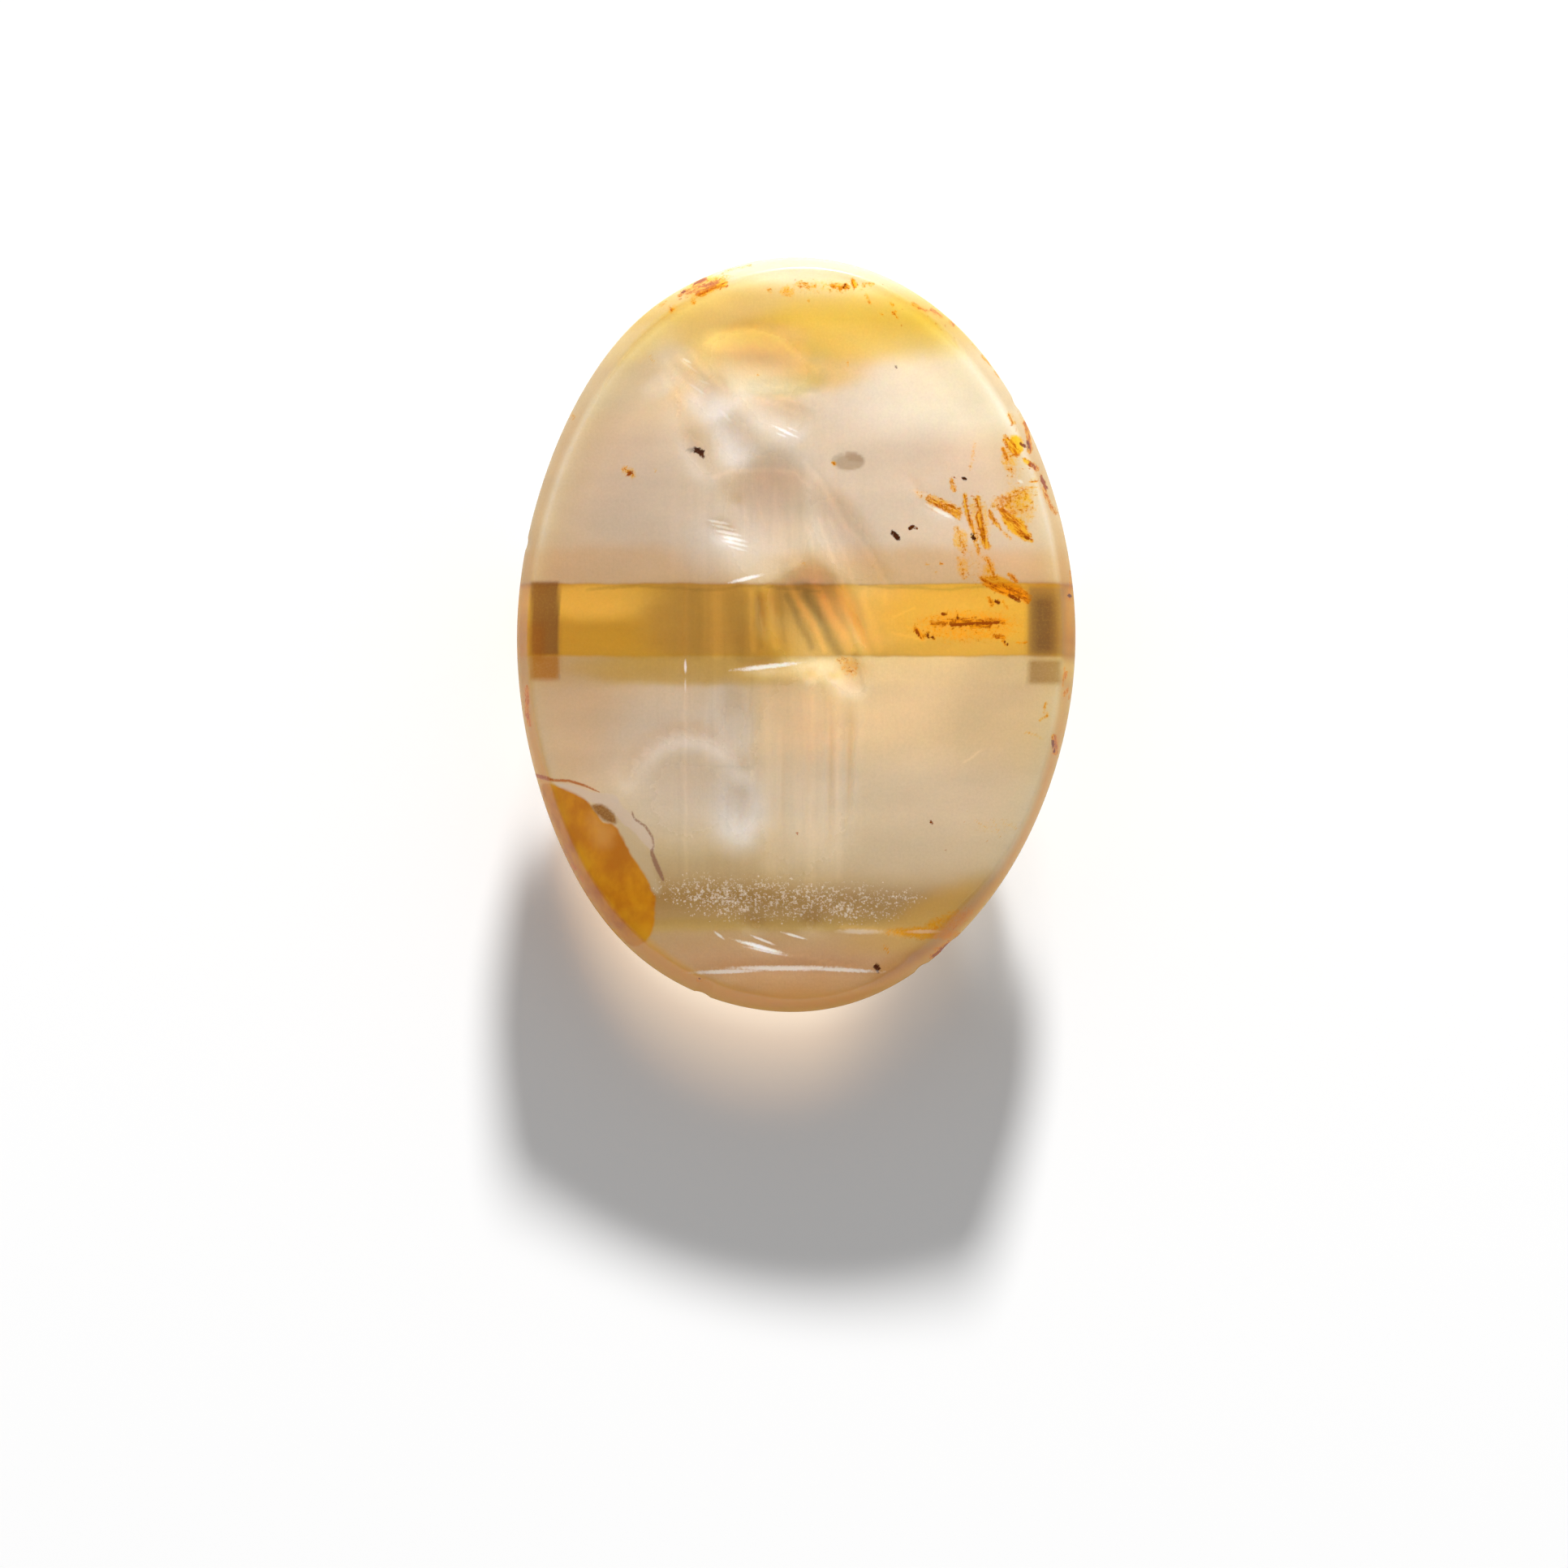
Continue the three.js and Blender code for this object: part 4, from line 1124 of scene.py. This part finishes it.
class Agate(Nodes):
    """The stone's material. Its colour is painted step by step, each over the last."""

    def __init__(self):
        self.material = bpy.data.materials.new("banded_agate")
        super().__init__(self.material)
        place = self.add("ShaderNodeTexCoord", {}).outputs["Object"]
        inputs = {0: place, "Scale": 1 / MM}
        self.mm = self.add("ShaderNodeVectorMath", inputs, operation="SCALE").outputs[0]
        self.x, self.y, self.z = self.add("ShaderNodeSeparateXYZ", {0: self.mm}).outputs
        self.grit = self.noise(self.mm, 20.0, 4.0, 0.75)
        self.speckle = self.noise(self.mm, 14.0, 5.0, 0.75)
        self.cut = self.field("cut")
        self.paint_layers()
        self.vary_brightness()
        self.paint_cuts_and_edges()
        self.paint_ochre()
        self.paint_grains()
        self.paint_rust()
        self.paint_glints()
        self.paint_shade_on_sunward_rim()
        output = self.let_light_through(self.skin())
        self.add("ShaderNodeOutputMaterial", {"Surface": output})

    def paint(self, cover, tone, blend="MIX"):
        self.color = self.mix(cover, self.color, tone, blend)

    def stretched(self, *scale):
        """Places with these many units to the millimetre across, along and up."""
        return self.add("ShaderNodeMapping", {"Vector": self.mm, "Scale": scale}).outputs[0]

    def streaks(self, turn, scale_along, scale_beside):
        """Noise drawn out along a turn."""
        cosine = self.math("COSINE", turn)
        sine = self.math("SINE", turn)
        along = self.plus(self.times(self.x, cosine), self.times(self.y, sine))
        beside = self.math("SUBTRACT", self.times(self.y, cosine), self.times(self.x, sine))
        place = self.vector(self.times(along, scale_along), self.times(beside, scale_beside), 0.0)
        return self.noise(place, 1.0, 3.0, 0.6)

    def paint_layers(self):
        """The flat layers, with soft changes of colour in the milky ones and in the clear one."""
        shake = self.swing(self.noise(self.mm, 0.3), 0.12)
        fine_shake = self.swing(self.noise(self.mm, 2.2), 0.07)
        level = self.plus(self.y, shake, fine_shake)
        place = self.math("DIVIDE", self.plus(level, STONE_LENGTH / 2), STONE_LENGTH)
        # The layers' colours hold painted light, lighter towards the head, which faces the lamp
        self.color = self.ramp(place, [
            (from_middle(0, start)[1] / STONE_LENGTH + 0.5, srgb(*tone)) for start, tone in BANDS
        ])
        lower = [from_middle(0, edge)[1] for edge in CLEAR_LOWER_EDGE]
        upper = [from_middle(0, edge)[1] for edge in CLEAR_UPPER_EDGE]
        in_clear = self.times(self.step(level, *lower), self.step(level, *upper, 1.0, 0.0))
        self.outside_clear = self.math("SUBTRACT", 1.0, in_clear)
        for name, inside in (("milky", self.outside_clear), ("clear", in_clear)):
            tone, cover = self.colors(name)
            self.paint(self.times(cover, inside), tone)

    def vary_brightness(self):
        """Clouds drawn out along the layers, fine fibres across them, grit, and painted light and
        shade along the engraving's folds.
        """
        clouds = self.noise(self.stretched(0.5, 1.4, 0.5), 1.1, 4.0, 0.55)
        fibres = self.noise(self.stretched(7.0, 0.3, 7.0), 1.0, 4.0, 0.6)
        fibre_reach = self.plus(self.times(self.field("worn"), 0.13), 0.03)
        changes = [self.swing(clouds, 0.22), self.swing(fibres, fibre_reach), self.swing(self.grit, 0.22)]
        # The shade field is painted light and shade along the engraving's folds
        bright = self.plus(1.0, *changes, self.field("shade"))
        self.paint(1.0, self.vector(bright, bright, bright), "MULTIPLY")
        self.paint(1.0, DEPTH_GAIN, "MULTIPLY")

    def paint_cuts_and_edges(self):
        """Worn cuts are paler than the polished face, but not in the clear layer. The left and right
        rims are tinted, the lower rim gets painted light and the ends of the clear layer get painted
        shade where they look out of the stone's sloping sides."""
        paleness = self.plus(self.times(self.outside_clear, 0.13), 0.02)
        self.paint(self.times(self.step(self.cut, 0.0, 0.28), paleness), WORN_CUT)
        self.paint(self.field("side_rim"), SIDE_RIM, "MULTIPLY")
        # Painted light on the lower rim, which faces away from the lamp
        self.paint(self.times(self.field("low_rim_light"), 0.8), LOW_RIM_LIGHT)
        # Painted shade at the ends of the clear layer
        tone, cover = self.colors("ends")
        self.paint(self.times(cover, self.step(self.grit, 0.45, 0.7, 1.0, 0.86)), tone)

    def paint_ochre(self):
        """Ochre earth grown into the stone, with a pale seam, a brown lens and cracks beside it."""
        lumps = self.noise(self.mm, 4.0, 4.0, 0.6)
        cloudy = self.step(self.noise(self.stretched(1.0, 0.7, 1.0), 1.5, 4.0, 0.6), 0.35, 0.65)
        ochre_color = self.mix(cloudy, *OCHRE_CLOUDS)
        peach = self.step(self.plus(self.field("peach"), self.times(lumps, 0.3)), 0.4, 1.1)
        ochre_color = self.mix(self.times(peach, 0.8), ochre_color, PEACH)
        ochre = self.step(self.plus(self.field("ochre"), self.swing(lumps, 0.5)), 0.3, 0.75)
        self.paint(self.times(self.field("beige"), 0.7), BEIGE)
        self.paint(self.times(ochre, 0.95), ochre_color)
        self.paint(self.times(self.step(self.field("seam"), 0.1, 0.9), 0.6), SEAM)
        lens_color = self.mix(self.step(self.grit, 0.4, 0.6), *LENS_SPECKLES)
        self.paint(self.times(self.field("lens"), 0.9), lens_color)
        for name, tone in CRACKS.items():
            crack = self.step(self.plus(self.field(name), self.swing(self.grit, 0.4)), 0.6, 0.86)
            self.paint(self.times(crack, self.field(name + "_power")), tone)

    def paint_grains(self):
        """White grains in the smoky layer: ragged flecks and small dots."""
        density = self.field("grain")
        clumps = self.step(self.noise(self.mm, 6.0, 3.0), 0.38, 0.62, 0.35, 1.25)
        crowd = self.times(density, clumps)
        flecks = self.plus(self.noise(self.mm, 17.0, 5.0, 0.65), self.times(crowd, 0.11))
        flecks = self.times(self.step(flecks, 0.6, 0.68, top=0.62), self.step(density, 0.02, 0.2))
        self.paint(flecks, WHITE_FLECK)
        bend_across = self.times(self.noise(self.mm, 40.0, 3.0, 0.7), 0.03)
        bend = self.vector(bend_across, self.times(self.grit, -0.03), 0.0)
        bent = self.add("ShaderNodeVectorMath", {0: self.mm, 1: bend}, operation="ADD").outputs[0]
        for scale, reach, odds in GRAIN_SIZES:
            cells = self.add("ShaderNodeTexVoronoi", {"Vector": bent, "Scale": scale})
            grains = self.step(cells.outputs["Distance"], reach - 0.25, reach, 1.0, 0.0)
            draws = self.add("ShaderNodeSeparateColor", {0: cells.outputs["Color"]}).outputs
            chosen = self.math("LESS_THAN", draws[0], self.times(crowd, odds))
            strength = self.step(draws[1], 0.0, 1.0, 0.15, 0.7)
            self.paint(self.times(grains, chosen, strength), WHITE_GRAIN)

    def paint_rust(self):
        """Rust in old scratches and pits: a see-through yellow wash, orange streaks in it along each
        mark, a brown network in those, then specks, scattered spots and dark marks."""
        streaks = self.streaks(self.field("rust_turn"), 3.0, 20.0)
        fine_speckle = self.noise(self.mm, 30.0, 4.0, 0.8)
        rust = self.field("rust")
        stain = self.math("MAXIMUM", self.field("yellow"), self.times(rust, 0.9))
        ragged = self.plus(stain, self.swing(self.speckle, 1.4))
        cover = self.times(self.step(ragged, 0.05, 0.8), self.step(stain, 0.0, 0.35))
        self.paint(cover, RUST_WASH, "MULTIPLY")
        ragged = self.plus(rust, self.swing(self.speckle, 1.8))
        cover = self.times(self.step(ragged, 0.3, 0.8), self.step(streaks, 0.38, 0.56), 0.9)
        self.paint(cover, RUST_ORANGE)
        cover = self.times(self.step(ragged, 0.35, 0.8), self.step(streaks, 0.44, 0.56))
        cover = self.times(cover, self.step(fine_speckle, 0.42, 0.56, floor=0.12))
        self.paint(cover, RUST_BROWN)
        specks = self.times(self.step(self.speckle, 0.6, 0.66), self.step(stain, 0.04, 0.3), 0.7)
        self.paint(specks, RUST_SPECK)
        spots = self.field("blots")
        ragged = self.plus(spots, self.times(self.speckle, 0.7))
        cover = self.times(self.step(ragged, 0.55, 0.95), self.step(spots, 0.05, 0.3), 0.9)
        self.paint(cover, RUST_SPOT)
        ragged = self.plus(self.field("dark"), self.swing(self.speckle, 0.9))
        power = self.field("dark_power")
        dark_color = self.mix(self.step(power, 0.6, 1.0), *DARK_RUST)
        self.paint(self.times(self.step(ragged, 0.62, 0.8), self.step(power, 0.0, 0.4)), dark_color)

    def paint_glints(self):
        """Painted highlights at the bottoms of the deepest grooves, in frayed ovals."""
        frayed = self.swing(self.noise(self.mm, 16.0, 4.0, 0.75), 1.1)
        place = self.vector(self.x, self.y, 0.0)
        glint_cover = 0.0
        for middle_across, middle_down, long, wide, turn, strength in GLINT_HIGHLIGHTS:
            oval = self.add("ShaderNodeMapping", {
                "Vector": place,
                "Location": (*from_middle(middle_across, middle_down), 0.0),
                "Rotation": (0.0, 0.0, math.radians(turn)),
                "Scale": (long / UNITS / 2, wide / UNITS / 2, 1.0),
            }, vector_type="TEXTURE").outputs[0]
            reach = self.add("ShaderNodeVectorMath", {0: oval}, operation="LENGTH").outputs["Value"]
            glint = self.step(self.plus(reach, frayed), 0.35, 1.1, strength, 0.0)
            glint_cover = self.math("MAXIMUM", glint_cover, glint)
        on_top = self.step(self.z, 2.9, 3.0, top=0.92)
        # Painted highlights on the face
        self.paint(self.times(glint_cover, on_top), GLINT_WHITE)

    def paint_shade_on_sunward_rim(self):
        """Painted shade on the rim and the bevel that face the lamp, so that they keep their colours."""
        self.paint(self.times(self.field("sunward_rim"), 0.8), SUNWARD_RIM_SHADE, "MULTIPLY")
        self.paint(self.field("sunward_bevel"), SUNWARD_BEVEL_SHADE, "MULTIPLY")

    def skin(self):
        """A polished skin, rougher in the cuts, over stone that scatters light."""
        rough_cut = self.times(self.step(self.cut, 0.01, 0.15), 0.14)
        rough = self.plus(0.2, rough_cut, self.times(self.noise(self.mm, 5.0, 4.0), 0.08))
        scratches = self.times(self.noise(self.stretched(26.0, 1.2, 5.0), 1.0, 3.0, 0.6), 0.4)
        bump = self.add("ShaderNodeBump", {
            "Strength": 0.3,
            "Distance": 0.02 * MM,
            "Height": self.plus(scratches, self.noise(self.mm, 9.0, 5.0, 0.6)),
        })
        return self.add("ShaderNodeBsdfPrincipled", {
            "Base Color": self.color,
            "Roughness": rough,
            "IOR": QUARTZ_IOR,
            "Subsurface Weight": 1.0,
            "Subsurface Radius": WANDER,
            "Subsurface Scale": MM,
            "Normal": bump.outputs[0],
        }).outputs[0]

    def let_light_through(self, skin):
        """Lamps shine through the low part of the sides and out of the face, and through the thin
        foot and the edges of the upper half."""
        drop = self.math("SUBTRACT", GIRDLE_BOTTOM, self.z)
        ray_x = self.plus(self.x, self.times(drop, FALL_ACROSS))
        ray_y = self.plus(self.y, self.times(drop, FALL_ALONG))
        from_bow = self.math("SUBTRACT", ray_x, BOW_MIDDLE)
        bow = self.times(from_bow, from_bow, BOW)
        foot = self.step(self.math("SUBTRACT", ray_y, bow), *FOOT_EDGE, 1.0, 0.0)
        share_x = self.math("DIVIDE", ray_x, STONE_WIDTH / 2)
        share_y = self.math("DIVIDE", ray_y, STONE_LENGTH / 2)
        share = self.math("SQRT", self.plus(self.times(share_x, share_x), self.times(share_y, share_y)))
        edges = self.math("MAXIMUM", *(self.step(share, *edge, top=top) for *edge, top in THIN_EDGES))
        leaning = self.plus(ray_y, self.times(ray_x, 0.25))
        thin = self.math("MAXIMUM", foot, self.times(edges, self.step(leaning, *UPPER_HALF)))
        through = self.ramp(self.math("DIVIDE", self.z, STONE_THICKNESS), [
            (level / STONE_THICKNESS, (*color, 1.0)) for level, color in LIGHT_THROUGH
        ])
        through = self.mix(self.step(self.x, *RIGHT_FADE, top=RIGHT_LOSS), through, BLACK)
        through = self.mix(thin, through, WHITE)
        inner_side = self.add("ShaderNodeNewGeometry", {}).outputs["Backfacing"]
        through = self.mix(inner_side, through, WHITE)
        clear = self.add("ShaderNodeBsdfTransparent", {"Color": through}).outputs[0]
        is_shadow = self.add("ShaderNodeLightPath", {}).outputs["Is Shadow Ray"]
        return self.add("ShaderNodeMixShader", {0: is_shadow, 1: skin, 2: clear}).outputs[0]


mesh.materials.append(Agate().material)
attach(stone, "root")
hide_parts("ring_stone")

# A pale table, which glows a little to the camera so that it looks white
TABLE_REACH = 0.3
TABLE_COLOR = (0.95, 0.95, 0.95, 1)
TABLE_GLOW = 0.08
corners = [(-1, -1), (1, -1), (1, 1), (-1, 1)]
table_mesh = bpy.data.meshes.new("table")
table_mesh.from_pydata([(x * TABLE_REACH, y * TABLE_REACH, 0) for x, y in corners], [], [(0, 1, 2, 3)])
table = bpy.data.objects.new("table", table_mesh)
bpy.context.scene.collection.objects.link(table)
paper_material = bpy.data.materials.new("paper")
paper = Nodes(paper_material)
to_camera = paper.add("ShaderNodeLightPath", {}).outputs["Is Camera Ray"]
diffuse = paper.add("ShaderNodeBsdfDiffuse", {"Color": TABLE_COLOR})
glow = paper.add("ShaderNodeEmission", {"Color": WHITE, "Strength": paper.times(to_camera, TABLE_GLOW)})
both = paper.add("ShaderNodeAddShader", {0: diffuse.outputs[0], 1: glow.outputs[0]})
paper.add("ShaderNodeOutputMaterial", {"Surface": both.outputs[0]})
table_mesh.materials.append(paper_material)

# A lamp at the head of the stone, low over the table
LAMP_DISTANCE = 1.0
LAMP_WIDTH = 0.138
LAMP_HEIGHT = 0.09
LAMP_POWER = 19.6
key = bpy.data.lights.new("key", "AREA")
key.shape = "ELLIPSE"
key.size = LAMP_WIDTH
key.size_y = LAMP_HEIGHT
key.energy = LAMP_POWER
key_lamp = bpy.data.objects.new("key", key)
bpy.context.scene.collection.objects.link(key_lamp)
key_lamp.location = [LAMP_DISTANCE * share for share in LIGHT]
lamp_azimuth = math.atan2(LIGHT[1], LIGHT[0])
key_lamp.rotation_euler = (math.acos(LIGHT[2]), 0, lamp_azimuth + math.pi / 2)

# An even fill from all round, with less of it from straight overhead
FILL_AROUND = 0.37
FILL_OVERHEAD = 0.05
OVERHEAD = (0.82, 0.97)
world = bpy.data.worlds.new("studio")
bpy.context.scene.world = world
sky = Nodes(world)
direction = sky.add("ShaderNodeTexCoord", {}).outputs["Generated"]
height = sky.add("ShaderNodeSeparateXYZ", {0: direction}).outputs["Z"]
fill = sky.step(height, *OVERHEAD, FILL_AROUND, FILL_OVERHEAD)
background = sky.add("ShaderNodeBackground", {"Color": WHITE, "Strength": fill})
sky.add("ShaderNodeOutputWorld", {"Surface": background.outputs[0]})

# The camera looks straight down on a square of the girdle's plane, in millimetres
FRAME_WIDTH = 31.16
FRAME_MIDDLE = (-0.242, -2.968)
LENS = 120
SENSOR_WIDTH = 36
camera_data = bpy.data.cameras.new("camera")
camera_data.lens = LENS
camera_data.sensor_width = SENSOR_WIDTH
camera_data.clip_start = 0.001
camera = bpy.data.objects.new("camera", camera_data)
bpy.context.scene.collection.objects.link(camera)
girdle_level = (GIRDLE_TOP + GIRDLE_BOTTOM) / 2
camera_height = girdle_level + FRAME_WIDTH / SENSOR_WIDTH * LENS
camera.location = [place * MM for place in (*FRAME_MIDDLE, camera_height)]

bpy.context.scene.camera = camera

scene = bpy.context.scene
scene.view_settings.view_transform = "Standard"
scene.cycles.use_denoising = True
